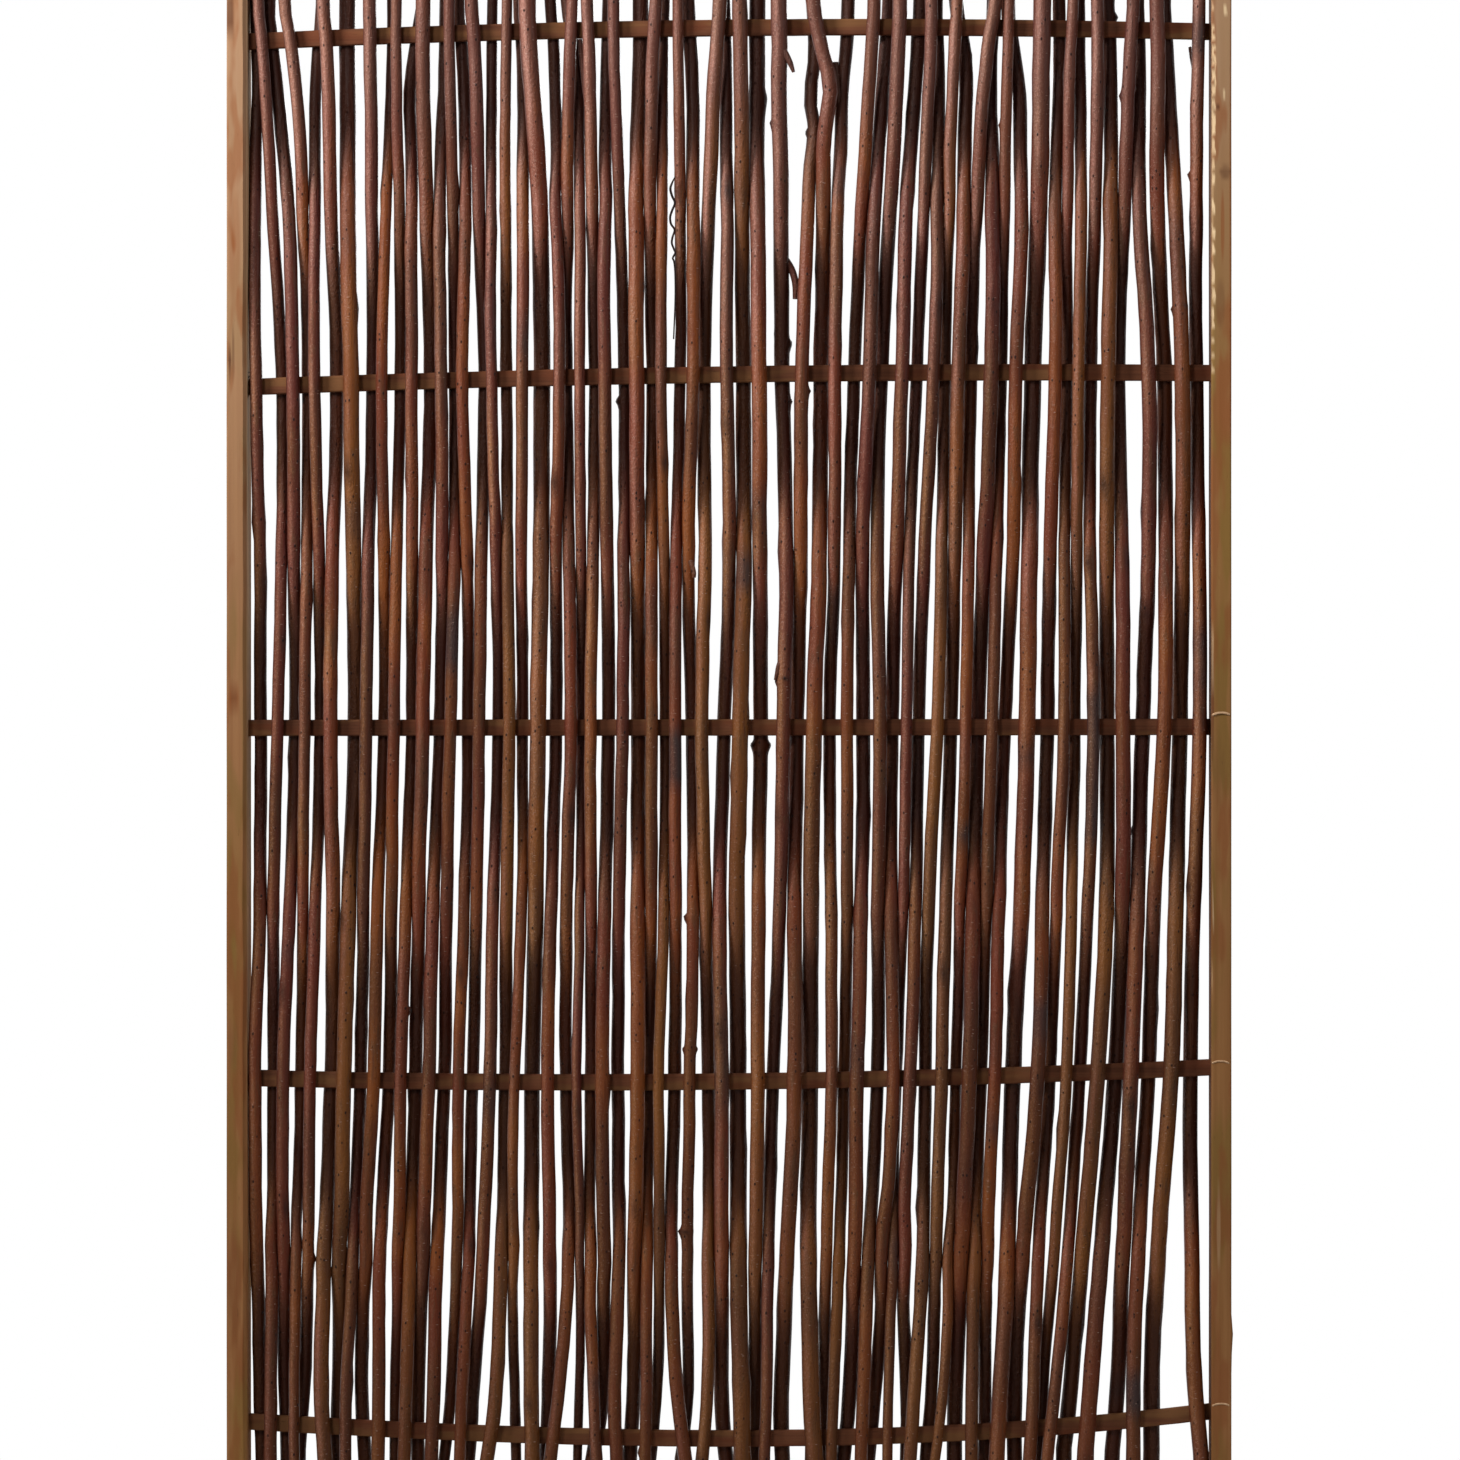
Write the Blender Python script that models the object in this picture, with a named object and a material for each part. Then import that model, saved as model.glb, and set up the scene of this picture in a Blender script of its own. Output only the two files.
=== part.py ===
# Garden fence panel: a batten frame around willow rods woven upright through five bowed slats.
# Metres, Z up. The front faces -Y, and the origin is at the bottom centre.

import math

import bmesh
import bpy
from mathutils import Vector

for old in list(bpy.data.objects):
    bpy.data.objects.remove(old, do_unlink=True)

# Frame
panel_width = 0.900
panel_height = 1.800
frame_depth = 0.038
post_face = 0.018
rail_height = 0.022
frame_arris = 0.0012
fit_gap = 0.0003

# Slats, from the top one down. Each row is the rise at the left post, the bow at the middle, the rise
# at the right post and the skew, measured from even levels about the panel's mid height.
slat_pitch = 0.310
slat_height = 0.0148
slat_thickness = 0.006
slat_arris = 0.0015
slat_tenon = 0.009
slat_stations = 12
slat_shapes = (
    (-0.0031, 0.0080, 0.0058, 0.0),
    (-0.0035, 0.0050, 0.0090, 0.0),
    (0.0000, 0.0000, 0.0010, 0.0),
    (-0.0045, -0.0080, 0.0050, 0.0),
    (-0.0033, -0.0198, 0.0057, -0.0017),
)

# Groove of the rails, which holds the rod ends
groove_width = 0.0165
groove_depth = 0.009

# Screws, one through each post into each rail end
screw_shank = 0.004
screw_head = 0.008
screw_head_depth = 0.0026
screw_length = 0.046
screw_point = 0.004
screw_tip = 0.0008
screw_edge = (rail_height - groove_depth) / 2
screw_sides = 16

# Rods
rod_sides = 8
rod_press = 0.0008
rod_unit = 0.001
rod_foot_fullness = 1.12
rod_top_fullness = 1.07
rod_thickest = 0.0151
rod_end_lean = 8.0

# Setting out of the rods, from the left post to the right one. Each row is the thickness of the lit
# side at the foot and at the top in units of rod_unit, which the fullness makes up to the whole
# thickness, then the places along a rule a little above slat 1, at slat 1, between slats 1 and 2, at
# slat 2, and so on down to slat 5 and a little below it. The rule's two marks lie at the posts' inner
# faces.
rule_left = 249.0
rule_right = 1210.0
rod_rows = (
    (11.0, 9.8, (254.5, 255.5, 254.5, 257, 260, 259.5, 260, 256, 257, 260, 261.2)),
    (10.2, 9.6, (259, 262.8, 272.5, 281, 281.5, 278.5, 273.5, 272.5, 272.5, 271.5, 271.3)),
    (10.2, 11.6, (264.2, 270, 288.5, 294, 294, 294.5, 290, 284, 283.5, 285, 287)),
    (8.8, 11.4, (285.1, 291.5, 304, 307, 307, 305.5, 303, 300, 296, 295.3, 295.3)),
    (10.0, 9.8, (320.8, 317.5, 314, 315.5, 318.5, 319.5, 315.5, 311, 308, 300.8, 297.3)),
    (13.2, 11.2, (324.2, 327, 331, 336, 332.5, 331.5, 333, 330.5, 325, 323.7, 326.3)),
    (11.8, 14.2, (346.5, 346.5, 348, 352, 353.5, 354.5, 349, 345, 341, 337, 336)),
    (9.6, 11.4, (370.5, 371, 372, 372, 368.5, 367, 363.5, 359.5, 353, 346.3, 346)),
    (12.0, 9.0, (391.5, 391.5, 386, 382.5, 384, 383.5, 377.5, 374.5, 364, 362, 363.8)),
    (11.4, 9.0, (397.5, 396.8, 399.5, 399.5, 396.5, 394.5, 391.5, 388, 380, 379.4, 379)),
    (9.6, 10.8, (422, 416.5, 411.5, 412.5, 412, 411, 406, 401.5, 399, 394.5, 394.5)),
    (10.2, 12.4, (424, 423.5, 426.5, 430, 426, 423.5, 418.5, 414.5, 410, 405.8, 405)),
    (11.4, 10.4, (446, 445, 439.5, 442, 442.5, 439.5, 433, 429.5, 422.5, 416.8, 417)),
    (11.6, 9.0, (449.8, 450, 453, 454, 454.5, 451, 446.5, 443.5, 437, 433.3, 432.5)),
    (9.4, 11.2, (456.5, 460, 465.5, 463, 467, 467.5, 464.5, 459, 457.5, 446.5, 443.4)),
    (9.6, 11.8, (472, 474.5, 479, 484, 481.5, 480, 476.5, 472, 468, 461.3, 460.2)),
    (11.2, 8.6, (491.8, 491.5, 491, 492, 496, 498, 493, 490.5, 482.5, 469.8, 467.7)),
    (12.0, 8.2, (508, 507, 505.5, 506, 507.5, 510, 506.5, 505, 502, 491.5, 487.2)),
    (8.2, 11.8, (519, 521, 523, 523, 521.5, 522, 522, 515, 512.5, 515, 515.7)),
    (12.0, 15.2, (527.5, 529, 539.5, 541, 541, 538.5, 535.5, 531.5, 531, 532.5, 533)),
    (11.8, 9.8, (549.4, 551.8, 557.5, 560, 556, 555.5, 551, 548, 550, 546.5, 545.5)),
    (10.8, 10.2, (573, 571.5, 566.5, 566, 569, 571.5, 566.5, 565.5, 569, 553.8, 550.5)),
    (7.2, 10.8, (565.5, 570.3, 580, 580, 581, 581, 580.5, 577, 581, 577.6, 576.9)),
    (9.8, 11.2, (587.2, 588.7, 592, 594.5, 593, 591, 591, 590.5, 589.5, 596.2, 597.3)),
    (11.8, 11.2, (608.5, 607.5, 604.5, 605, 607, 608, 604.5, 602.5, 603, 596.2, 591)),
    (11.6, 9.8, (613.6, 614, 619.5, 624, 624, 623, 619, 617.5, 619, 616, 617.5)),
    (11.2, 13.4, (640.2, 640, 636.5, 637, 637.5, 638, 638, 638, 635, 631, 629.3)),
    (9.6, 11.2, (656, 654.5, 650, 652, 651.5, 652, 651, 648.5, 646.5, 646, 645.5)),
    (9.2, 10.0, (664, 663, 662, 661.5, 664, 665, 664, 659, 659.5, 653, 650.3)),
    (11.4, 8.6, (678.3, 678.3, 680.5, 680, 676.5, 675.5, 675.5, 674.5, 671, 682.8, 686)),
    (9.0, 12.0, (687.2, 689.5, 693, 693.5, 688, 691.5, 693.5, 690, 687, 683.5, 680)),
    (9.6, 12.2, (720.5, 718.3, 709, 703.5, 705, 702, 705, 708, 708.5, 704.3, 701.8)),
    (13.0, 10.6, (723.8, 724.6, 727, 727, 729.5, 724, 719.5, 722, 721.5, 724, 726)),
    (14.4, 11.6, (739.4, 740.3, 742, 743, 744, 740.5, 737, 738, 738.5, 742.4, 742.8)),
    (10.4, 14.2, (757.4, 757, 757.5, 759.5, 760, 760.5, 758.5, 758, 756, 755, 755.5)),
    (9.0, 15.0, (778.9, 778.8, 781, 782, 786.5, 783.5, 780, 773, 768, 765.3, 764.3)),
    (13.6, 11.0, (812, 814, 808.5, 802, 800.5, 797, 794.5, 795, 787, 781.5, 782.3)),
    (14.2, 12.0, (812.2, 816.8, 823.5, 821, 819.5, 814, 811, 810, 808.5, 813.4, 814.5)),
    (9.6, 12.0, (848.2, 847.5, 838, 835, 834.5, 829.5, 831, 831.5, 826, 824, 824)),
    (9.2, 11.6, (874.2, 872.8, 862, 854, 849, 847, 847, 844, 839, 831.6, 831)),
    (11.8, 11.0, (889.3, 887.5, 875, 869.5, 862.5, 863.5, 861.5, 857, 854.5, 845.8, 843)),
    (10.6, 13.0, (899.5, 899, 890.5, 881, 877, 880, 878, 877.5, 868.5, 861.7, 861)),
    (10.0, 12.0, (921, 919.5, 907, 902, 896.5, 892, 891, 893, 884.5, 871.3, 868.6)),
    (8.0, 11.4, (931.2, 930.8, 924, 917, 909.5, 906.5, 903, 896.5, 892, 887.7, 887.5)),
    (10.2, 10.6, (936.3, 937.3, 938.5, 933.5, 924.5, 918.5, 915.5, 910, 902.5, 907, 906.7)),
    (11.6, 10.2, (957, 955.5, 948, 945, 942, 937, 928.5, 925, 922.5, 911.2, 909.5)),
    (9.6, 12.4, (955.6, 960, 964, 958, 954.5, 951, 945.5, 941, 935.5, 928.5, 925.9)),
    (8.0, 12.0, (996, 991, 976.5, 971, 968.5, 965.5, 960.5, 956, 950.5, 938, 934.3)),
    (12.4, 11.8, (997.4, 993, 993, 991, 984.5, 977.5, 973.5, 969, 961, 954.7, 954.3)),
    (11.0, 9.2, (1008.5, 1008, 1004, 1001.5, 996.5, 992, 986, 981, 974, 971.5, 971.3)),
    (9.8, 12.0, (1005.5, 1009.8, 1021.5, 1015.5, 1013, 1005, 999, 994.5, 986.5, 985, 984.5)),
    (12.4, 15.2, (1041.5, 1041.3, 1039, 1033, 1029.5, 1026.5, 1021.5, 1013, 1007.5, 997.7, 995.8)),
    (12.8, 10.2, (1059.4, 1060, 1055.5, 1055, 1050, 1047.5, 1042.5, 1037.5, 1022.5, 1014.3, 1014.8)),
    (11.2, 9.6, (1073, 1071.3, 1067, 1067, 1064.5, 1063.5, 1056.5, 1050, 1038.5, 1031, 1029.3)),
    (9.4, 11.0, (1079, 1079.5, 1081, 1078, 1076.5, 1075, 1071.5, 1066, 1054, 1041, 1040)),
    (10.4, 11.4, (1096.2, 1097, 1095, 1091, 1090, 1093, 1088, 1080, 1068, 1050.3, 1046.3)),
    (13.2, 12.2, (1108.2, 1109.3, 1111, 1107.5, 1106.5, 1107.5, 1106.5, 1097, 1082.5, 1067.3, 1064)),
    (14.4, 10.6, (1132.8, 1131, 1124, 1119, 1122, 1122.5, 1122.5, 1116, 1101.5, 1087, 1084.3)),
    (12.4, 12.0, (1137.3, 1138.5, 1139, 1148, 1148.5, 1143, 1137.5, 1130.5, 1123, 1115.7, 1112.5)),
    (11.8, 13.0, (1156, 1156.9, 1157, 1164.5, 1165.5, 1163.5, 1154, 1149, 1138.5, 1132.3, 1133)),
    (13.4, 12.0, (1164.3, 1165.8, 1175, 1181.5, 1182.5, 1180.5, 1176, 1170.5, 1158.5, 1151.8, 1152)),
    (13.6, 10.8, (1197.9, 1197.7, 1196, 1197, 1199, 1199, 1194, 1191, 1191.5, 1196, 1200.5)),
)

# Neighbours that press into each other and count as one piece: the number of the left rod, and the
# bay in which they meet, where bay 1 lies between slats 1 and 2.
pressed_pairs = {
    4: 1,
    7: 4,
    11: 3,
    15: 4,
    17: 2,
    21: 2,
    23: 3,
    27: 2,
    30: 2,
    36: 2,
    43: 3,
    46: 2,
    49: 2,
    53: 1,
    57: 1,
}

# Colours, each with its roughness
post_colour = (0.32, 0.19, 0.085)
rail_colour = (0.29, 0.17, 0.075)
slat_colour = (0.10, 0.052, 0.024)
steel_colour = (0.55, 0.53, 0.50)
bark_colours = (
    (0.150, 0.062, 0.040),
    (0.180, 0.085, 0.060),
    (0.130, 0.055, 0.036),
    (0.170, 0.078, 0.042),
    (0.120, 0.060, 0.050),
)
wood_roughness = 0.72
bark_roughness = 0.55
steel_roughness = 0.35

inner_width = panel_width - 2 * post_face
inner_half = inner_width / 2


# Shared tools


def paint(name, colour, roughness, metallic=0.0):
    material = bpy.data.materials.new(name)
    material.use_nodes = True
    shader = material.node_tree.nodes["Principled BSDF"]
    shader.inputs["Base Color"].default_value = (*colour, 1.0)
    shader.inputs["Roughness"].default_value = roughness
    shader.inputs["Metallic"].default_value = metallic
    material.diffuse_color = (*colour, 1.0)
    return material


def finish(name, shape, place, material=None):
    bmesh.ops.recalc_face_normals(shape, faces=shape.faces)
    mesh = bpy.data.meshes.new(name)
    shape.to_mesh(mesh)
    shape.free()
    made = bpy.data.objects.new(name, mesh)
    made.location = place
    if material:
        mesh.materials.append(material)
    bpy.context.scene.collection.objects.link(made)
    return made


def box(name, place, size, arris=0.0, material=None):
    shape = bmesh.new()
    bmesh.ops.create_cube(shape, size=1.0)
    bmesh.ops.scale(shape, vec=size, verts=shape.verts)
    if arris:
        bmesh.ops.bevel(shape, geom=shape.edges, offset=arris, segments=1, affect="EDGES")
    return finish(name, shape, place, material)


def loft(name, place, rings, material=None, smooth=False):
    shape = bmesh.new()
    loops = [[shape.verts.new(point) for point in ring] for ring in rings]
    count = len(loops[0])
    for near, far in zip(loops, loops[1:]):
        for side in range(count):
            after = (side + 1) % count
            face = shape.faces.new((near[side], near[after], far[after], far[side]))
            face.smooth = smooth
    for loop in (loops[0], loops[-1]):
        cap = shape.faces.new(loop)
        for edge in cap.edges:
            edge.smooth = False
    return finish(name, shape, place, material)


def boolean(target, helper, operation):
    helper.hide_render = True
    helper.display_type = "WIRE"
    modifier = target.modifiers.new(helper.name, "BOOLEAN")
    modifier.operation = operation
    modifier.solver = "EXACT"
    modifier.object = helper


# Slats


def slat_level(slat, across):
    left, bow, right, skew = slat_shapes[slat]
    share = max(-1.0, min(1.0, across / inner_half))
    rise = left + (right - left) * (share + 1) / 2 + bow * (1 - share * share)
    rise += skew * 2.6 * (share - share**3)
    even = panel_height / 2 + (len(slat_shapes) // 2 - slat) * slat_pitch
    return even + rise


def slat_ring(slat, across, place):
    high = slat_height / 2
    deep = slat_thickness / 2
    ring = []
    for y, z in (
        (-deep, -high + slat_arris),
        (-deep, high - slat_arris),
        (-deep + slat_arris, high),
        (deep - slat_arris, high),
        (deep, high - slat_arris),
        (deep, -high + slat_arris),
        (deep - slat_arris, -high),
        (-deep + slat_arris, -high),
    ):
        ring.append(Vector((across, y, slat_level(slat, across) + z)) - place)
    return ring


def make_slat(slat, material):
    place = Vector((0, 0, slat_level(slat, 0)))
    stations = [
        -inner_half + inner_width * step / slat_stations for step in range(slat_stations + 1)
    ]
    stations = [-inner_half - slat_tenon, *stations, inner_half + slat_tenon]
    rings = [slat_ring(slat, across, place) for across in stations]
    return loft(f"slat_{slat + 1}", place, rings, material)


def mortise_cutter(name, slat, side):
    reach = slat_tenon + fit_gap
    place = (
        side * (inner_half + (reach - post_face) / 2),
        0,
        slat_level(slat, side * inner_half),
    )
    size = (reach + post_face, slat_thickness + 2 * fit_gap, slat_height + 2 * fit_gap)
    return box(name, place, size)


# Screws


def screw_rings(side, profile):
    rings = []
    for along, radius in profile:
        ring = []
        for step in range(screw_sides):
            angle = 2 * math.pi * step / screw_sides
            ring.append((-side * along, radius * math.cos(angle), radius * math.sin(angle)))
        rings.append(ring)
    return rings


def screw_place(side, end):
    return (side * panel_width / 2, 0, screw_edge if end == "bottom" else panel_height - screw_edge)


def make_screw(name, side, end, material):
    profile = (
        (0, screw_head / 2),
        (screw_head_depth, screw_shank / 2),
        (screw_length - screw_point, screw_shank / 2),
        (screw_length, screw_tip),
    )
    return loft(name, screw_place(side, end), screw_rings(side, profile), material)


def screw_cutter(name, side, end):
    profile = (
        (-post_face / 2, screw_head / 2 + fit_gap),
        (0, screw_head / 2 + fit_gap),
        (screw_head_depth, screw_shank / 2 + fit_gap),
        (screw_length + fit_gap, screw_shank / 2 + fit_gap),
    )
    return loft(name, screw_place(side, end), screw_rings(side, profile))


# Rods


def thickness(row, level):
    foot = rod_rows[row][0] * rod_foot_fullness
    top = rod_rows[row][1] * rod_top_fullness
    return min((foot + (top - foot) * level / panel_height) * rod_unit, rod_thickest)


def rule_place(mark):
    return -inner_half + (mark - rule_left) / (rule_right - rule_left) * inner_width


def levels_at(across):
    # The heights of a rod's rings at this place, from its top end down to its foot
    slats = [slat_level(slat, across) for slat in range(len(slat_shapes))]
    end = rail_height - groove_depth + fit_gap
    levels = [panel_height - end]
    for upper, lower in zip(slats, slats[1:]):
        levels += [upper, (upper + lower) / 2]
    return levels + [slats[-1], end]


def marks_of(row):
    # One mark for each of the rod's rings. In the rails it leans on a little
    marks = rod_rows[row][2]
    ends = []
    for outer, inner in ((marks[0], marks[1]), (marks[-1], marks[-2])):
        ends.append(outer + max(-rod_end_lean, min(rod_end_lean, outer - inner)))
    return [ends[0], *marks[1:-1], ends[1]]


def crossing_ease(reach):
    # How much nearer than side by side two neighbours may lie at a slat that one passes in front of
    # and the other behind, when the straight runs to the next bay still clear each other
    depth = slat_thickness + 2 * fit_gap + reach
    return depth * math.tan(math.acos(1 - 0.8 * fit_gap / (reach + fit_gap)))


def spread(places, radii, ring):
    # Moves neighbours apart until none overlap, and pressed ones together
    last = len(places) - 1
    needs = []
    locked = []
    for row in range(last):
        reach = radii[row] + radii[row + 1]
        pressed = pressed_pairs.get(row + 1) == ring / 2
        ease = crossing_ease(reach) if ring % 2 else 0.0
        needs.append(reach - rod_press if pressed else reach + fit_gap - ease)
        locked.append(pressed)
    low = -inner_half + fit_gap + radii[0]
    high = inner_half - fit_gap - radii[last]
    for _ in range(200):
        for row in range(last):
            lack = needs[row] - (places[row + 1] - places[row])
            if lack > 0 or locked[row]:
                places[row] -= lack / 2
                places[row + 1] += lack / 2
        places[0] = max(places[0], low)
        places[last] = min(places[last], high)
    for row in range(last):
        nearest = places[row] + needs[row]
        places[row + 1] = nearest if locked[row] else max(places[row + 1], nearest)
    places[last] = min(places[last], high)
    for row in reversed(range(last)):
        nearest = places[row + 1] - needs[row]
        places[row] = nearest if locked[row] else min(places[row], nearest)
    return places


def set_out():
    # Each rod's ring centres and radii, from the top down
    count = len(rod_rows)
    rods = [[] for _ in range(count)]
    rings = len(marks_of(0))
    for ring in range(rings):
        places = [rule_place(marks_of(row)[ring]) for row in range(count)]
        levels = [levels_at(place)[ring] for place in places]
        radii = [thickness(row, levels[row]) / 2 for row in range(count)]
        places = spread(places, radii, ring)
        for row in range(count):
            heights = levels_at(places[row])
            level = heights[ring]
            depth = 0.0
            if ring % 2:
                run = min(heights[ring - 1] - level, level - heights[ring + 1])
                depth = slat_thickness / 2 + fit_gap + radii[row]
                depth /= 1 - slat_height / 2 / run
                depth *= 1 if (row + ring // 2) % 2 == 0 else -1
            rods[row].append((Vector((places[row], depth, level)), radii[row]))
    return rods


def make_rod(name, rod, material):
    place = Vector((rod[-1][0].x, 0, rod[-1][0].z))
    rings = []
    for centre, radius in rod:
        ring = []
        for step in range(rod_sides):
            angle = 2 * math.pi * step / rod_sides
            offset = Vector((math.cos(angle), math.sin(angle), 0)) * radius
            ring.append(centre - place + offset)
        rings.append(ring)
    return loft(name, place, rings, material, smooth=True)


# Frame and slats

slat_paint = paint("slat_wood", slat_colour, wood_roughness)
steel_paint = paint("screw_steel", steel_colour, steel_roughness, 1.0)
slat_count = len(slat_shapes)
for slat in range(slat_count):
    make_slat(slat, slat_paint)

posts = {}
rails = {}
for word, side in (("left", -1), ("right", 1)):
    place = (side * (panel_width - post_face) / 2, 0, panel_height / 2)
    size = (post_face, frame_depth, panel_height)
    colour = paint(f"{word}_post_wood", post_colour, wood_roughness)
    posts[word] = box(f"{word}_post", place, size, frame_arris, colour)
    for slat in range(slat_count):
        boolean(posts[word], mortise_cutter(f"{word}_mortise_{slat + 1}", slat, side), "DIFFERENCE")

for end, up in (("top", 1), ("bottom", -1)):
    place = (0, 0, panel_height / 2 + up * (panel_height - rail_height) / 2)
    size = (inner_width - 2 * fit_gap, frame_depth, rail_height)
    colour = paint(f"{end}_rail_wood", rail_colour, wood_roughness)
    rails[end] = box(f"{end}_rail", place, size, frame_arris, colour)
    place = (0, 0, panel_height / 2 + up * (panel_height / 2 - rail_height))
    size = (inner_width + post_face, groove_width, 2 * groove_depth)
    boolean(rails[end], box(f"{end}_groove", place, size), "DIFFERENCE")

for word, side in (("left", -1), ("right", 1)):
    for end in rails:
        make_screw(f"{end}_{word}_screw", side, end, steel_paint)
        cutter = screw_cutter(f"{end}_{word}_screw_hole", side, end)
        boolean(posts[word], cutter, "DIFFERENCE")
        boolean(rails[end], cutter, "DIFFERENCE")

# Willow

bark_paints = [
    paint(f"willow_bark_{number}", colour, bark_roughness)
    for number, colour in enumerate(bark_colours, 1)
]
rods = set_out()
taken = 0
for row, rod in enumerate(rods):
    number = row + 1
    if number == taken:
        continue
    colour = bark_paints[row * 3 % len(bark_paints)]
    if number in pressed_pairs:
        taken = number + 1
        pair = make_rod(f"willow_rods_{number:02d}_{taken:02d}", rod, colour)
        boolean(pair, make_rod(f"willow_rod_{taken:02d}", rods[number], colour), "UNION")
    else:
        make_rod(f"willow_rod_{number:02d}", rod, colour)
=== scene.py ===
import math

import bmesh
import bpy
import numpy as np
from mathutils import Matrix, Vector, noise


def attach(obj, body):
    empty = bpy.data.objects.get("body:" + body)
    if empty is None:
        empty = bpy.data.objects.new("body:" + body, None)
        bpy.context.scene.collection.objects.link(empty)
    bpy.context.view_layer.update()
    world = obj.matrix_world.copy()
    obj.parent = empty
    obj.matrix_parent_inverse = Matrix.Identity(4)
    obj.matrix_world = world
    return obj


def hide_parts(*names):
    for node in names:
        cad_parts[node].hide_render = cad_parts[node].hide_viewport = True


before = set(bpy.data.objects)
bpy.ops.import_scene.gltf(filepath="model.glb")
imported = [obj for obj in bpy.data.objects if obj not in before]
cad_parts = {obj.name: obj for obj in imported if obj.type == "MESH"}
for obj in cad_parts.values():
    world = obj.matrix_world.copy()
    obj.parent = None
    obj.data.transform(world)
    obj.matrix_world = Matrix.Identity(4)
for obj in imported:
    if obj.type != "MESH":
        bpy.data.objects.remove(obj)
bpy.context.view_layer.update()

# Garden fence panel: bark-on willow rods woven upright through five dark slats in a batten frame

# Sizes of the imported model, in metres
panel = {
    "width": 0.900,
    "height": 1.800,
    "depth": 0.038,
    "postFace": 0.018,
    "railHeight": 0.022,
    "grooveWidth": 0.0165,
    "grooveDepth": 0.009,
    "gap": 0.0003,
}
innerHalf = panel["width"] / 2 - panel["postFace"]
random = np.random.default_rng(62)
noise.seed_set(62)


# Tools for the pieces


def deselectAll():
    if bpy.context.object and bpy.context.object.mode != "OBJECT":
        bpy.ops.object.mode_set(mode="OBJECT")
    bpy.ops.object.select_all(action="DESELECT")


def pick(piece, *others):
    # Selects these pieces alone, with the first as the active one
    deselectAll()
    for item in (piece, *others):
        item.select_set(True)
    bpy.context.view_layer.objects.active = piece


def pickEdges(piece, wanted):
    # In edit mode: selects just the edges that wanted says yes to
    bpy.ops.mesh.select_mode(type="EDGE")
    bpy.ops.mesh.select_all(action="DESELECT")
    shape = bmesh.from_edit_mesh(piece.data)
    for edge in shape.edges:
        edge.select_set(wanted(edge))
    bmesh.update_edit_mesh(piece.data)


def cutAlong(piece, axis, least, cuts, low=-10.0, high=10.0):
    # Cuts a straight piece into short lengths along an axis, between two places on it
    def isLong(edge):
        ends = sorted(vert.co[axis] for vert in edge.verts)
        return ends[1] - ends[0] > least and ends[1] > low and ends[0] < high

    bpy.ops.object.mode_set(mode="EDIT")
    pickEdges(piece, isLong)
    bpy.ops.mesh.subdivide(number_cuts=cuts)
    bpy.ops.object.mode_set(mode="OBJECT")


def pointsOf(piece):
    points = np.empty(len(piece.data.vertices) * 3)
    piece.data.vertices.foreach_get("co", points)
    return points.reshape(-1, 3)


def setPoints(piece, points):
    piece.data.vertices.foreach_set("co", np.ascontiguousarray(points, dtype=float).ravel())
    piece.data.update()


def setMark(piece, name, values):
    # A number on each point, which the material reads by its name
    mark = piece.data.attributes.new(name, "FLOAT", "POINT")
    mark.data.foreach_set("value", np.ascontiguousarray(values, dtype=np.float32))


def applyAll(piece):
    pick(piece)
    for modifier in list(piece.modifiers):
        bpy.ops.object.modifier_apply(modifier=modifier.name)


def cutAway(piece, cutters):
    # Takes the cutters out of a piece, then throws them away
    for cutter in cutters:
        boolean = piece.modifiers.new(cutter.name, "BOOLEAN")
        boolean.operation = "DIFFERENCE"
        boolean.solver = "EXACT"
        boolean.object = cutter
    applyAll(piece)
    for cutter in cutters:
        bpy.data.objects.remove(cutter, do_unlink=True)


def joinTo(piece, extras):
    if extras:
        pick(piece, *extras)
        bpy.ops.object.join()


def smooth(piece, angle):
    pick(piece)
    bpy.ops.object.shade_smooth_by_angle(angle=math.radians(angle))


def roundEdges(piece, offset, segments):
    pick(piece)
    bpy.ops.object.mode_set(mode="EDIT")
    bpy.ops.mesh.select_all(action="SELECT")
    bpy.ops.mesh.bevel(offset=offset, segments=segments, affect="EDGES")
    bpy.ops.object.mode_set(mode="OBJECT")


def faceOutwards(piece):
    pick(piece)
    bpy.ops.object.mode_set(mode="EDIT")
    bpy.ops.mesh.select_all(action="SELECT")
    bpy.ops.mesh.normals_make_consistent(inside=False)
    bpy.ops.object.mode_set(mode="OBJECT")


def settle(piece, material, slot, *nodes):
    # Gives a finished piece its material, hangs it under the root, and hides the imported parts it
    # takes the place of
    piece.data.materials.clear()
    piece.data.materials.append(material)
    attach(piece, "root")
    if nodes:
        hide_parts(*nodes)


def addBox(name, low, high):
    deselectAll()
    low, high = Vector(low), Vector(high)
    bpy.ops.mesh.primitive_cube_add(size=1, location=(low + high) / 2, scale=high - low)
    bpy.ops.object.transform_apply(location=True, rotation=True, scale=True)
    piece = bpy.context.object
    piece.name = name
    piece.data.name = name
    return piece


blanks = {}


def addBlank(name, sides, rings):
    # A straight tube of short lengths, one metre thick and high, ready to be bent to shape
    if (sides, rings) not in blanks:
        deselectAll()
        bpy.ops.mesh.primitive_cylinder_add(vertices=sides, radius=1, depth=1)
        blank = bpy.context.object
        cutAlong(blank, 2, 0.9, rings - 2)
        points = pointsOf(blank)
        ring = np.rint((points[:, 2] + 0.5) * (rings - 1)).astype(int)
        blanks[sides, rings] = (blank, ring, np.arctan2(points[:, 1], points[:, 0]))
    blank, ring, turn = blanks[sides, rings]
    piece = blank.copy()
    piece.data = blank.data.copy()
    bpy.context.scene.collection.objects.link(piece)
    piece.name = name
    piece.data.name = name
    return piece, ring, turn


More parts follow.
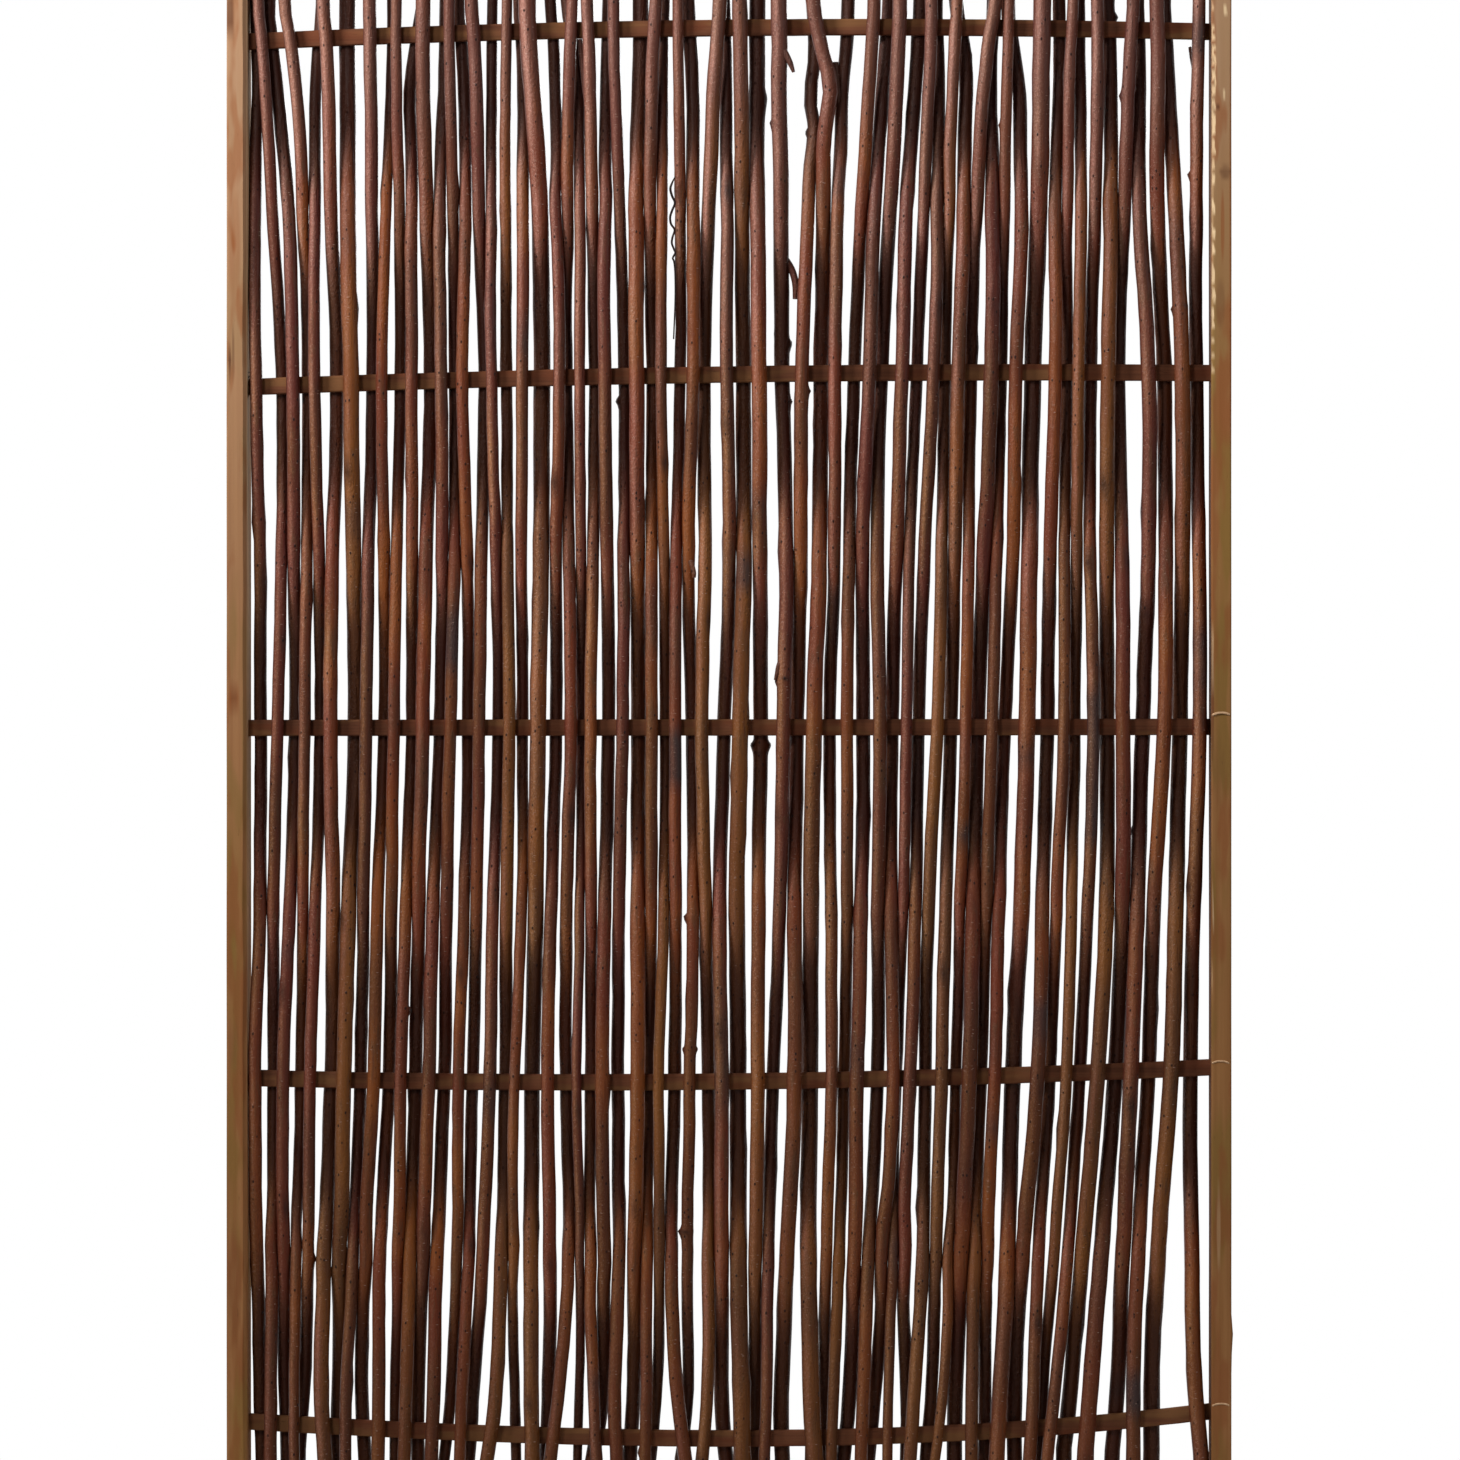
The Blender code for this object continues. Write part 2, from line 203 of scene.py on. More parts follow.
def easeThrough(knots, values, at, slopes=None):
    # A smooth run through the knots, which have to rise
    if slopes is None:
        slopes = np.gradient(values, knots)
    cell = np.clip(np.searchsorted(knots, at) - 1, 0, len(knots) - 2)
    width = knots[cell + 1] - knots[cell]
    t = np.clip((at - knots[cell]) / width, 0, 1)
    return (
        (1 + 2 * t) * (1 - t) ** 2 * values[cell]
        + t * (1 - t) ** 2 * width * slopes[cell]
        + t * t * (3 - 2 * t) * values[cell + 1]
        + t * t * (t - 1) * width * slopes[cell + 1]
    )


def addTube(name, points, radii, sides, rings):
    # A tube along a smooth path: points it passes through, and its radius at each of them
    points = np.array(points, float)
    share = np.linspace(0, 1, len(points))
    at = np.linspace(0, 1, rings)
    path = np.stack([easeThrough(share, points[:, axis], at) for axis in range(3)], 1)
    thick = np.interp(at, share, radii)
    along = np.gradient(path, axis=0)
    along /= np.linalg.norm(along, axis=1)[:, None]
    across = np.cross(along[0], (0.0, 1.0, 0.0))
    if np.linalg.norm(across) < 0.2:
        across = np.cross(along[0], (1.0, 0.0, 0.0))
    # Each ring's first direction is the one before, made square to the path
    acrosses = []
    for step in range(rings):
        across = across - along[step] * (across @ along[step])
        across = across / np.linalg.norm(across)
        acrosses.append(across)
    acrosses = np.array(acrosses)
    beside = np.cross(along, acrosses)
    piece, ring, turn = addBlank(name, sides, rings)
    out = np.cos(turn)[:, None] * acrosses[ring] + np.sin(turn)[:, None] * beside[ring]
    spots = path[ring] + thick[ring, None] * out
    setPoints(piece, spots)
    faceOutwards(piece)
    return piece


# Tools for the materials


class Wire:
    # A socket in a material. Ordinary signs between wires and numbers add the maths nodes
    def __init__(self, tree, socket):
        self.tree = tree
        self.socket = socket

    def add(self, kind, settings=None, sockets=None, out=0):
        node = self.tree.nodes.new(kind)
        for name, value in (settings or {}).items():
            setattr(node, name, value)
        for name, value in (sockets or {}).items():
            plug(self.tree, node.inputs[name], value)
        return Wire(self.tree, node.outputs[out])

    def maths(self, operation, *values):
        return self.add("ShaderNodeMath", {"operation": operation}, dict(enumerate(values)))

    def __add__(self, other):
        return self.maths("ADD", self, other)

    def __sub__(self, other):
        return self.maths("SUBTRACT", self, other)

    def __rsub__(self, other):
        return self.maths("SUBTRACT", other, self)

    def __mul__(self, other):
        return self.maths("MULTIPLY", self, other)

    def __truediv__(self, other):
        return self.maths("DIVIDE", self, other)

    def __pow__(self, other):
        return self.maths("POWER", self, other)

    __radd__ = __add__
    __rmul__ = __mul__

    def rise(self, low, high):
        # Nought below low, one above high, and a soft step between
        values = {"Value": self, "From Min": low, "From Max": high}
        return self.add("ShaderNodeMapRange", {"interpolation_type": "SMOOTHSTEP"}, values)

    def mix(self, first, second):
        # Goes from the first colour to the second as this wire goes from nought to one
        return self.add("ShaderNodeMix", {"data_type": "RGBA"}, {0: self, 6: first, 7: second}, 2)

    def stretch(self, scale, place=(0, 0, 0)):
        return self.add("ShaderNodeMapping", None, {"Vector": self, "Scale": scale, "Location": place})

    def noise(self, scale, detail=2.0, roughness=0.5, distortion=0.0):
        values = {
            "Vector": self,
            "Scale": scale,
            "Detail": detail,
            "Roughness": roughness,
            "Distortion": distortion,
        }
        return self.add("ShaderNodeTexNoise", None, values)

    def spots(self, scale):
        # Distance to the nearest scattered point, and a random number of that point's own
        distance = self.add("ShaderNodeTexVoronoi", None, {"Vector": self, "Scale": scale})
        own = Wire(self.tree, distance.socket.node.outputs["Color"])
        return distance, own.add("ShaderNodeSeparateColor", None, {"Color": own})

    def bump(self, height, strength, distance):
        # This wire is the normal under the bump
        values = {"Height": height, "Strength": strength, "Distance": distance, "Normal": self}
        return self.add("ShaderNodeBump", None, values)


def plug(tree, socket, value):
    if isinstance(value, Wire):
        tree.links.new(value.socket, socket)
    elif socket.type == "RGBA" and len(value) == 3:
        socket.default_value = (*value, 1.0)
    else:
        socket.default_value = value


def startMaterial(name, fixed):
    # A material, its shader, and a wire with the place on the object
    material = bpy.data.materials.new(name)
    material.use_nodes = True
    tree = material.node_tree
    shader = tree.nodes["Principled BSDF"]
    for socket, value in fixed.items():
        shader.inputs[socket].default_value = value
    place = Wire(tree, tree.nodes.new("ShaderNodeTexCoord").outputs["Object"])
    normal = Wire(tree, tree.nodes.new("ShaderNodeNewGeometry").outputs["Normal"])
    return material, shader, place, normal


def markWire(place, name):
    # The number that setMark left on the points
    return place.add("ShaderNodeAttribute", {"attribute_name": name}, None, "Fac")


def finishMaterial(place, shader, sockets):
    for name, value in sockets.items():
        plug(place.tree, shader.inputs[name], value)


# Camera, light and floor

view = {
    "distance": 4.85,  # from the panel's front
    "across": 0.12,
    "height": 0.8982,
    "seenWidth": 1.3074,  # at the panel's front
    "shift": -0.0911,
    "sensor": 36,
}

bpy.ops.object.camera_add(
    location=(view["across"], -panel["depth"] / 2 - view["distance"], view["height"]),
    rotation=(math.radians(90), 0, 0),
)
camera = bpy.context.object
camera.name = "camera"
camera.data.sensor_width = view["sensor"]
camera.data.lens = view["sensor"] * view["distance"] / view["seenWidth"]
camera.data.shift_x = view["shift"]
bpy.context.scene.camera = camera
bpy.context.scene.view_settings.view_transform = "Standard"

light = {
    "keyPlace": (-2.05, -1.36, 2.7),
    "keyAim": (-1.0, -0.05, 3.55),
    "keySize": (0.8, 1.0),
    "keyPower": 152.0,
    "frontPlace": (-1.25, -3.0, 2.8),
    "frontAim": (0.0, 0.0, 1.8),
    "frontSize": (0.7, 0.9),
    "frontPower": 33.0,
    "sidePlace": (2.6, -1.5, 2.4),
    "sideAim": (0.0, 0.0, 1.9),
    "sideSize": (1.2, 1.6),
    "sidePower": 17.0,
    "backPlace": (0.3, 3.2, 2.4),
    "backAim": (0.0, 0.0, 1.0),
    "backSize": (1.5, 1.5),
    "backPower": 62.0,
    "air": (1.0, 0.97, 0.94),
    "airStrength": 0.062,
}


def addLamp(name, place, aim, size, power):
    bpy.ops.object.light_add(type="AREA", location=place)
    lamp = bpy.context.object
    lamp.name = name
    lamp.rotation_euler = (Vector(aim) - Vector(place)).to_track_quat("-Z", "Y").to_euler()
    lamp.data.energy = power
    lamp.data.shape = "RECTANGLE"
    lamp.data.size, lamp.data.size_y = size


for lamp in ("key", "front", "side", "back"):
    addLamp(f"{lamp}Lamp", *(light[lamp + part] for part in ("Place", "Aim", "Size", "Power")))


def makeWorld():
    # Soft light all round, and plain white where the camera or a reflection looks past the panel
    world = bpy.data.worlds.new("studio")
    bpy.context.scene.world = world
    world.use_nodes = True
    tree = world.node_tree
    seen = tree.nodes["Background"]
    seen.inputs["Color"].default_value = (1, 1, 1, 1)
    ray = tree.nodes.new("ShaderNodeLightPath")
    camera, glossy, through = (
        Wire(tree, ray.outputs[name])
        for name in ("Is Camera Ray", "Is Glossy Ray", "Is Transmission Ray")
    )
    looked = (camera + glossy + through).rise(0.0, 1.0)
    values = {"Color": light["air"], "Strength": light["airStrength"]}
    air = looked.add("ShaderNodeBackground", None, values)
    both = looked.add("ShaderNodeMixShader", None, {0: looked, 1: air})
    tree.links.new(seen.outputs[0], both.socket.node.inputs[2])
    plug(tree, tree.nodes["World Output"].inputs["Surface"], both)


makeWorld()

floorLook = {
    "radius": 1.9,
    "sides": 96,
    "clearFrom": 1.05,
    "clearAt": 1.65,
    "colour": (0.9, 0.9, 0.9),
    "roughness": 0.9,
}


def makeFloor():
    # A pale round floor that fades into the white around it
    look = floorLook
    deselectAll()
    bpy.ops.mesh.primitive_circle_add(vertices=look["sides"], radius=look["radius"], fill_type="NGON")
    floor = bpy.context.object
    floor.name = "floor"
    material, shader, place, _ = startMaterial("paleFloor", {"Roughness": look["roughness"]})
    shader.inputs["Base Color"].default_value = (*look["colour"], 1)
    away = place.add("ShaderNodeVectorMath", {"operation": "LENGTH"}, {0: place}, "Value")
    finishMaterial(place, shader, {"Alpha": 1 - away.rise(look["clearFrom"], look["clearAt"])})
    floor.data.materials.append(material)


makeFloor()
print("camera, light and floor done")


# Wood of the posts, rails and slats

timberLooks = {
    "postWood": {
        "light": (0.42, 0.195, 0.076),
        "paintedTopSheen": (0.45, 0.27, 0.16),
        "dark": (0.30, 0.118, 0.040),
        "red": (0.31, 0.105, 0.036),
        "green": (0.30, 0.165, 0.046),
        "soot": (0.10, 0.043, 0.018),
        "bare": (0.80, 0.58, 0.34),
        "stain": (0.12, 0.046, 0.024),
        "ring": 0.0062,
        "grain": 2,
        "heart": (0.021, 0.013, 0.0),
        "roughness": 0.85,
        "relief": 0.0003,
    },
    "railWood": {
        "light": (0.40, 0.185, 0.072),
        "paintedTopSheen": (0.43, 0.26, 0.15),
        "dark": (0.28, 0.112, 0.038),
        "red": (0.29, 0.10, 0.034),
        "green": (0.28, 0.155, 0.043),
        "soot": (0.09, 0.04, 0.018),
        "bare": (0.7, 0.5, 0.3),
        "stain": (0.12, 0.046, 0.024),
        "ring": 0.0056,
        "grain": 0,
        "heart": (0.0, 0.017, 0.009),
        "roughness": 0.85,
        "relief": 0.0003,
    },
    "slatWood": {
        "light": (0.190, 0.070, 0.035),
        "paintedTopSheen": (0.20, 0.12, 0.07),
        "dark": (0.100, 0.038, 0.021),
        "red": (0.165, 0.047, 0.022),
        "green": (0.240, 0.110, 0.044),
        "soot": (0.03, 0.013, 0.008),
        "bare": (0.3, 0.17, 0.08),
        "stain": (0.05, 0.02, 0.012),
        "ring": 0.0028,
        "grain": 0,
        "heart": (0.0, 0.008, 0.004),
        "roughness": 0.75,
        "relief": 0.0003,
    },
}


def makeTimber(name):
    look = timberLooks[name]
    material, shader, place, normal = startMaterial(name, {"Specular IOR Level": 0.06})
    grain = look["grain"]

    def lengthwise(across, along):
        # The place, stretched so that a pattern of about this fineness runs with the grain
        scale = [across] * 3
        scale[grain] = along
        return place.stretch(tuple(scale))

    # The tree's heart runs along the piece, a little outside it, and wanders
    wander = lengthwise(30.0, 1.6).noise(1.0, 2.0)
    flat = tuple(float(axis != grain) for axis in range(3))
    off = place.stretch(flat, tuple(-part for part in look["heart"]))
    out = off.add("ShaderNodeVectorMath", {"operation": "LENGTH"}, {0: off}, "Value")
    angle = (out / look["ring"] + wander * 2.6) * 6.283
    ring = angle.maths("SINE", angle) * 0.5 + 0.5
    threads = lengthwise(1100.0, 22.0).noise(1.0, 2.0, 0.6)
    bands = lengthwise(160.0, 3.0).noise(1.0, 2.0, 0.5)
    cloud = lengthwise(55.0, 9.0).noise(1.0, 2.0, 0.5)
    blush = lengthwise(70.0, 14.0).stretch((1.0, 1.0, 1.0), (3.0, 5.0, 7.0)).noise(1.0, 2.0, 0.5)
    fleck = lengthwise(420.0, 70.0).noise(1.0, 2.0, 0.5)
    shade = ring**3 * 0.2 + bands.rise(0.35, 0.68) * 0.6 + threads.rise(0.3, 0.8) * 0.15 - 0.1
    colour = shade.mix(look["light"], look["dark"])
    colour = (cloud.rise(0.45, 0.62) * 0.75 + markWire(place, "olive")).mix(colour, look["green"])
    # Painted sheen: paler, greyer wood towards the posts' tops
    colour = (markWire(place, "paintedTopSheen") * (blush * 0.6 + 0.6)).mix(colour, look["paintedTopSheen"])
    colour = (blush.rise(0.50, 0.64) * 0.6 + markWire(place, "rust")).mix(colour, look["red"])
    colour = (fleck.rise(0.68, 0.8) * 0.45).mix(colour, look["soot"])
    colour = (markWire(place, "stain") * (cloud * 0.8 + 0.45)).mix(colour, look["stain"])
    bare = markWire(place, "bare") * (threads.rise(0.15, 0.6) * 0.25 + 0.75)
    colour = bare.mix(colour, look["bare"])
    height = ring * 0.2 + threads * 0.35 + bands * 0.35 - fleck.rise(0.62, 0.8) * 0.3
    finishMaterial(
        place,
        shader,
        {
            "Base Color": colour,
            "Roughness": threads * 0.1 + look["roughness"],
            "Normal": normal.bump(height, 0.6, look["relief"]),
        },
    )
    return material


timbers = {name: makeTimber(name) for name in timberLooks}

steelLook = {"colour": (0.56, 0.54, 0.5), "dull": (0.3, 0.24, 0.18), "roughness": 0.22}


def makeSteel():
    material, shader, place, normal = startMaterial("screwSteel", {"Metallic": 1.0})
    dirt = place.noise(420.0, 3.0, 0.6)
    fine = place.stretch((2600.0, 2600.0, 2600.0)).noise(1.0)
    finishMaterial(
        place,
        shader,
        {
            "Base Color": (dirt.rise(0.5, 0.72) * 0.8).mix(steelLook["colour"], steelLook["dull"]),
            "Roughness": dirt * 0.35 + steelLook["roughness"],
            "Normal": normal.bump(fine, 0.15, 0.0002),
        },
    )
    return material


steel = makeSteel()

wireLook = {"colour": (0.62, 0.40, 0.23), "dull": (0.42, 0.24, 0.12)}


def makeStapleWire():
    material, shader, place, normal = startMaterial("stapleWire", {"Specular IOR Level": 0.3})
    dirt = place.noise(700.0, 2.0, 0.6)
    finishMaterial(
        place,
        shader,
        {
            "Base Color": dirt.rise(0.35, 0.7).mix(wireLook["colour"], wireLook["dull"]),
            "Roughness": dirt * 0.2 + 0.35,
            "Metallic": dirt * 0.3 + 0.1,
            "Normal": normal.bump(dirt, 0.3, 0.0002),
        },
    )
    return material


stapleWire = makeStapleWire()


# Slats

slatLook = {
    "pitch": 0.310,
    "height": 0.0148,
    "thickness": 0.006,
    "arris": 0.0014,
    "tenon": 0.0088,
    "cuts": 260,
    "rough": 0.00022,
    "waves": 90.0,
    "still": 0.01,  # how far from the posts the roughness sets in
    "shapes": (  # rise at the left post, bow at the middle, rise at the right post, and skew
        (-0.0031, 0.0080, 0.0058, 0.0),
        (-0.0035, 0.0050, 0.0090, 0.0),
        (0.0000, 0.0000, 0.0010, 0.0),
        (-0.0045, -0.0080, 0.0050, 0.0),
        (-0.0033, -0.0198, 0.0057, -0.0017),
    ),
}
slatCount = len(slatLook["shapes"])


def slatLevel(slat, across):
    # How high a slat lies at a place across the panel. The skew's own curve peaks at 1 / 2.6
    left, bow, right, skew = slatLook["shapes"][slat]
    share = np.clip(across / innerHalf, -1, 1)
    rise = left + (right - left) * (share + 1) / 2 + bow * (1 - share * share)
    rise = rise + skew * 2.6 * (share - share**3)
    return panel["height"] / 2 + (slatCount // 2 - slat) * slatLook["pitch"] + rise


def roughen(points, amount, scale, stretch):
    # A small wander of the points, the same for points that lie close together
    spots = [Vector(point * stretch) * scale for point in points]
    return points + np.array([noise.noise_vector(spot) for spot in spots]) * amount


def makeSlat(slat):
    name = f"slat{slat + 1}"
    half = innerHalf + slatLook["tenon"]
    deep, high = slatLook["thickness"] / 2, slatLook["height"] / 2
    piece = addBox(name, (-half, -deep, -high), (half, deep, high))
    roundEdges(piece, slatLook["arris"], 3)
    cutAlong(piece, 0, half, slatLook["cuts"])
    points = pointsOf(piece)
    inside = np.clip((innerHalf - np.abs(points[:, 0])) / slatLook["still"], 0.15, 1)[:, None]
    apart = (0, 0, slat)  # so that no two slats are alike
    moved = roughen(points + apart, slatLook["rough"], slatLook["waves"], np.array((0.5, 1, 1)))
    points += (moved - points - apart) * inside
    points[:, 2] += slatLevel(slat, points[:, 0])
    setPoints(piece, points)
    smooth(piece, 50)
    settle(piece, timbers["slatWood"], "slat_wood", f"slat_{slat + 1}")


for slat in range(slatCount):
    makeSlat(slat)
print("slats done")


# Posts and rails

battenLook = {
    "arris": 0.0013,
    "postCuts": 400,
    "faceCuts": 22,
    "sideCuts": 14,
    "fineCuts": 3,
    "fineRun": {-1: (1.19, 1.2), 1: (1.19, 1.56)},  # heights between which the cuts are finer
    "railCuts": 200,
    "rough": 0.00022,
    "waves": 24.0,
    "still": 0.03,  # how far from the ends the roughness sets in
    "mortise": (-0.004, 0.0093),
    "mortiseGap": 0.0003,
    "worn": 0.0034,  # how far the left post's inner front edge is rounded off
    "wornWaves": 14,
    "tornWaves": (420, 330),  # across the edge and along it
    "chipSlant": 0.6,
    "chipEnds": 0.16,  # share of a chip's length that fades out at either end
    "chipSkin": 0.0006,  # depth at which a chip shows its bare wood in full
    "lineHalf": 0.0005,
    "linePale": 0.5,
    "skin": 0.003,  # how deep from the front the marks go
    "spotEdge": 1.6,  # squared reach at which a mark ends, in its own half sizes
    "inner": (0.4328, 0.0006, 0.0025),  # where the inner side begins, across and in depth
    # how strongly the right post's inner side is darkened, as painted shade
    "innerShade": 1.1,
    "paintedTopSheen": {-1: (0.75, 1.55), 1: (1.18, 1.54)},  # heights between which a post grows paler and greyer: painted sheen of the light from above
    "paintedTopSheenMost": 0.9,
    "swelling": (0.353, 0.011, 0.0016),  # height, half length, and how proud
    "swellingEdge": (0.447, 0.003, 0.004, 0.012),  # where it begins: across, then in depth
}

# Torn stretches of the right post's inner front edge: top, bottom, how deep, and how pale
chips = (
    (1.5504, 1.5440, 0.0030, 0.5),
    (1.5310, 1.5258, 0.0034, 0.7),
    (1.5240, 1.5160, 0.0042, 0.8),
    (1.5135, 1.5085, 0.0046, 0.8),
    (1.5068, 1.5000, 0.0044, 0.8),
    (1.4996, 1.4925, 0.0048, 0.7),
    (1.4905, 1.4862, 0.0040, 0.8),
    (1.4860, 1.4790, 0.0046, 0.9),
    (1.4780, 1.4665, 0.0042, 0.8),
    (1.4650, 1.4560, 0.0036, 0.8),
    (1.4640, 1.2500, 0.0022, 0.15),
    (1.4545, 1.4290, 0.0044, 0.9),
    (1.4285, 1.4150, 0.0040, 0.8),
    (1.4100, 1.4000, 0.0036, 0.6),
    (1.3985, 1.3880, 0.0038, 0.9),
    (1.3740, 1.3620, 0.0038, 1.0),
    (1.3505, 1.3400, 0.0038, 1.0),
    (1.3340, 1.3232, 0.0040, 0.95),
    (1.3170, 1.2970, 0.0034, 0.85),
    (1.2952, 1.2824, 0.0040, 0.85),
    (1.2785, 1.2680, 0.0030, 0.9),
    (1.2668, 1.2570, 0.0036, 0.8),
    (1.2519, 1.2448, 0.0032, 0.7),
    (1.2385, 1.2313, 0.0032, 0.6),
    (1.2260, 1.2161, 0.0030, 0.6),
    (1.0000, 0.9700, 0.0022, 0.35),
    (0.9680, 0.9420, 0.0026, 0.35),
    (0.6900, 0.6600, 0.0018, 0.3),
)

# Marks on the posts' front faces: side, place across, height, half width, half height, what kind of
# mark, and how strong
postMarks = (
    (1, 0.4442, 1.5435, 0.0013, 0.0050, "bare", 1.0),
    (1, 0.4456, 1.5400, 0.0009, 0.0030, "bare", 0.7),
    (1, 0.4434, 1.4678, 0.0010, 0.0042, "bare", 0.8),
    (1, 0.4379, 1.4560, 0.0014, 0.0014, "stain", 0.9),
    (1, 0.4445, 1.3978, 0.0050, 0.0050, "stain", 0.7),
    (1, 0.4435, 1.1083, 0.0028, 0.0020, "bare", 0.7),
    (1, 0.4430, 1.3000, 0.0060, 0.1900, "rust", 0.12),
    (1, 0.4420, 0.9600, 0.0080, 0.1300, "olive", 0.5),
    (1, 0.4328, 1.0785, 0.0016, 0.0036, "olive", 0.9),
    # Painted shade along the right post's inner front edge
    (1, 0.4330, 0.9200, 0.0012, 0.0560, "stain", 0.8),
    (1, 0.4400, 1.2800, 0.0040, 0.0200, "stain", 0.35),
    (1, 0.4335, 0.7450, 0.0022, 0.0300, "olive", 0.9),
    (1, 0.4385, 0.4500, 0.0060, 0.0350, "olive", 0.8),
    (1, 0.4385, 0.4500, 0.0016, 0.0330, "bare", 0.22),
    (1, 0.4390, 0.8600, 0.0060, 0.0350, "stain", 0.35),
    (1, 0.4495, 1.3500, 0.0014, 0.1800, "rust", 0.7),
    (1, 0.4495, 0.3600, 0.0014, 0.1300, "stain", 0.4),
    # Painted shade along the right post's inner front edge
    (1, 0.4305, 1.1500, 0.0012, 0.3200, "stain", 0.5),
    (-1, -0.4433, 0.9251, 0.0042, 0.0120, "rust", 0.8),
    (-1, -0.4433, 0.9251, 0.0030, 0.0070, "stain", 0.4),
    (-1, -0.4482, 0.9215, 0.0010, 0.0030, "stain", 1.4),
    (-1, -0.4470, 1.5400, 0.0036, 0.0160, "stain", 0.9),
    (-1, -0.4470, 1.2245, 0.0012, 0.0120, "stain", 0.9),
    (-1, -0.4440, 1.2330, 0.0012, 0.0200, "stain", 0.5),
    (-1, -0.4440, 0.6200, 0.0050, 0.0200, "stain", 0.3),
    (-1, -0.4430, 0.4000, 0.0060, 0.0500, "stain", 0.3),
    (-1, -0.4430, 0.7500, 0.0050, 0.0600, "olive", 0.4),
    # Rows 0.02 wide cover a post's whole face; the stain ones darken the posts' lower parts, the right
    # post's most
    (-1, -0.4410, 0.7000, 0.0200, 0.4200, "stain", 0.11),
    (1, 0.4410, 0.5500, 0.0200, 0.4200, "stain", 0.24),
    (1, 0.4410, 0.7500, 0.0200, 0.4500, "olive", 0.25),
    (-1, -0.4430, 1.3300, 0.0050, 0.0500, "rust", 0.35),
    (1, 0.4410, 1.3600, 0.0200, 0.1500, "olive", 0.8),
    (1, 0.4410, 0.3000, 0.0200, 0.2500, "stain", 0.3),
    (1, 0.4420, 1.3500, 0.0016, 0.0300, "rust", 0.7),
)

# A pale line down the right post's face: heights and places across
paleLine = ((0.7656, 0.7504, 0.7235, 0.7145), (0.4312, 0.4334, 0.4339, 0.4343))

screwLook = {
    "sides": 24,
    "rings": 150,
    "edge": 0.0065,
    "head": 0.004,
    "headDepth": 0.0026,
    "shank": 0.002,
    "core": 0.78,  # thickness under the thread, as a share of the shank's
    "length": 0.046,
    "point": 0.006,
    "thread": 0.0022,
    "recess": 0.0017,
    "recessHalf": 0.00045,
    "recessDepth": 0.0016,
    "boreSides": 32,
    "over": 0.001,  # how far a cutter starts outside the wood
    "bore": 0.0015,  # how much longer than the screw its cutter is
}


def screwLevel(end):
    return screwLook["edge"] if end == "bottom" else panel["height"] - screwLook["edge"]


def screwCutters(side, end, parts=("head", "shank")):
    # The hole of one screw: a cone for the head, and a round hole for the shank
    gap = panel["gap"]
    bore = screwLook["shank"] + gap
    shapes = {
        "head": (screwLook["head"] + 2 * gap, -gap, screwLook["headDepth"] + gap),
        "shank": (bore, -screwLook["over"], screwLook["length"] + screwLook["bore"]),
    }
    cutters = []
    for part in parts:
        wide, start, depth = shapes[part]
        deselectAll()
        bpy.ops.mesh.primitive_cone_add(
            vertices=screwLook["boreSides"],
            radius1=wide,
            radius2=bore,
            depth=depth,
            location=(side * (panel["width"] / 2 - start - depth / 2), 0, screwLevel(end)),
            rotation=(0, -side * math.pi / 2, 0),
        )
        bpy.ops.object.transform_apply(location=True, rotation=True, scale=True)
        cutters.append(bpy.context.object)
    return cutters


def raiseMark(marks, kind, amounts):
    marks[kind] = np.maximum(marks[kind], amounts)


def onFront(points):
    return points[:, 1] < battenLook["skin"] - panel["depth"] / 2


def tearEdge(points, corner, marks):
    # How far the right post's inner front edge is torn off, which also bares the wood there
    look = battenLook
    wide, long = look["tornWaves"]
    torn = np.array([noise.noise(Vector((y * wide, 3.0, z * long))) for _, y, z in points])
    slant = points[:, 2] + (points[:, 0] - innerHalf) * look["chipSlant"]
    cut = np.zeros(len(points))
    for high, low, deep, pale in chips:
        edge = (high - low) * look["chipEnds"]
        span = np.clip((slant - low) / edge, 0, 1) * np.clip((high - slant) / edge, 0, 1)
        here = np.clip(corner + deep * (0.9 + 0.4 * torn) * span, 0, None) * (span > 0)
        cut = np.maximum(cut, here)
        raiseMark(marks, "bare", np.clip(here / look["chipSkin"], 0, 1) * span * pale)
    return cut


def wearEdge(points, corner):
    # How far the left post's inner front edge is rounded off
    waves = battenLook["wornWaves"]
    wear = np.array([noise.noise(Vector((3, 0, z * waves))) for z in points[:, 2]])
    return np.clip(corner + battenLook["worn"] * (1 + 0.3 * wear), 0, None)


def markLine(points, marks):
    heights, places = paleLine
    line = np.interp(points[:, 2], heights[::-1], places[::-1])
    near = np.abs(points[:, 0] - line) < battenLook["lineHalf"]
    inRun = (points[:, 2] > heights[-1]) & (points[:, 2] < heights[0])
    raiseMark(marks, "bare", near * (inRun & onFront(points)) * battenLook["linePale"])


def markFaces(points, side, marks):
    look = battenLook
    for owner, x, z, wide, high, kind, amount in postMarks:
        if owner == side:
            reach = ((points[:, 0] - x) / wide) ** 2 + ((points[:, 2] - z) / high) ** 2
            spot = np.clip(look["spotEdge"] - reach, 0, 1) * onFront(points)
            raiseMark(marks, kind, spot * amount)
    begin, run, deep = look["inner"]
    inner = np.clip((begin - side * points[:, 0]) / run, 0, 1)
    inner *= points[:, 1] > deep - panel["depth"] / 2
    if side < 0:
        # Painted light: the left post's inner side is made paler through the bare mark, more so towards
        # the top
        raiseMark(marks, "bare", inner * np.clip(points[:, 2] / 2 - 0.2, 0, 0.5))
    else:
        # Painted shade: the right post's inner side loses its bare wood and is darkened through the
        # stain mark
        marks["bare"] *= 1 - inner
        raiseMark(marks, "stain", inner * look["innerShade"])
    # Painted sheen that grows towards the post's top
    start, full = look["paintedTopSheen"][side]
    marks["paintedTopSheen"] = np.clip((points[:, 2] - start) / (full - start), 0, look["paintedTopSheenMost"])


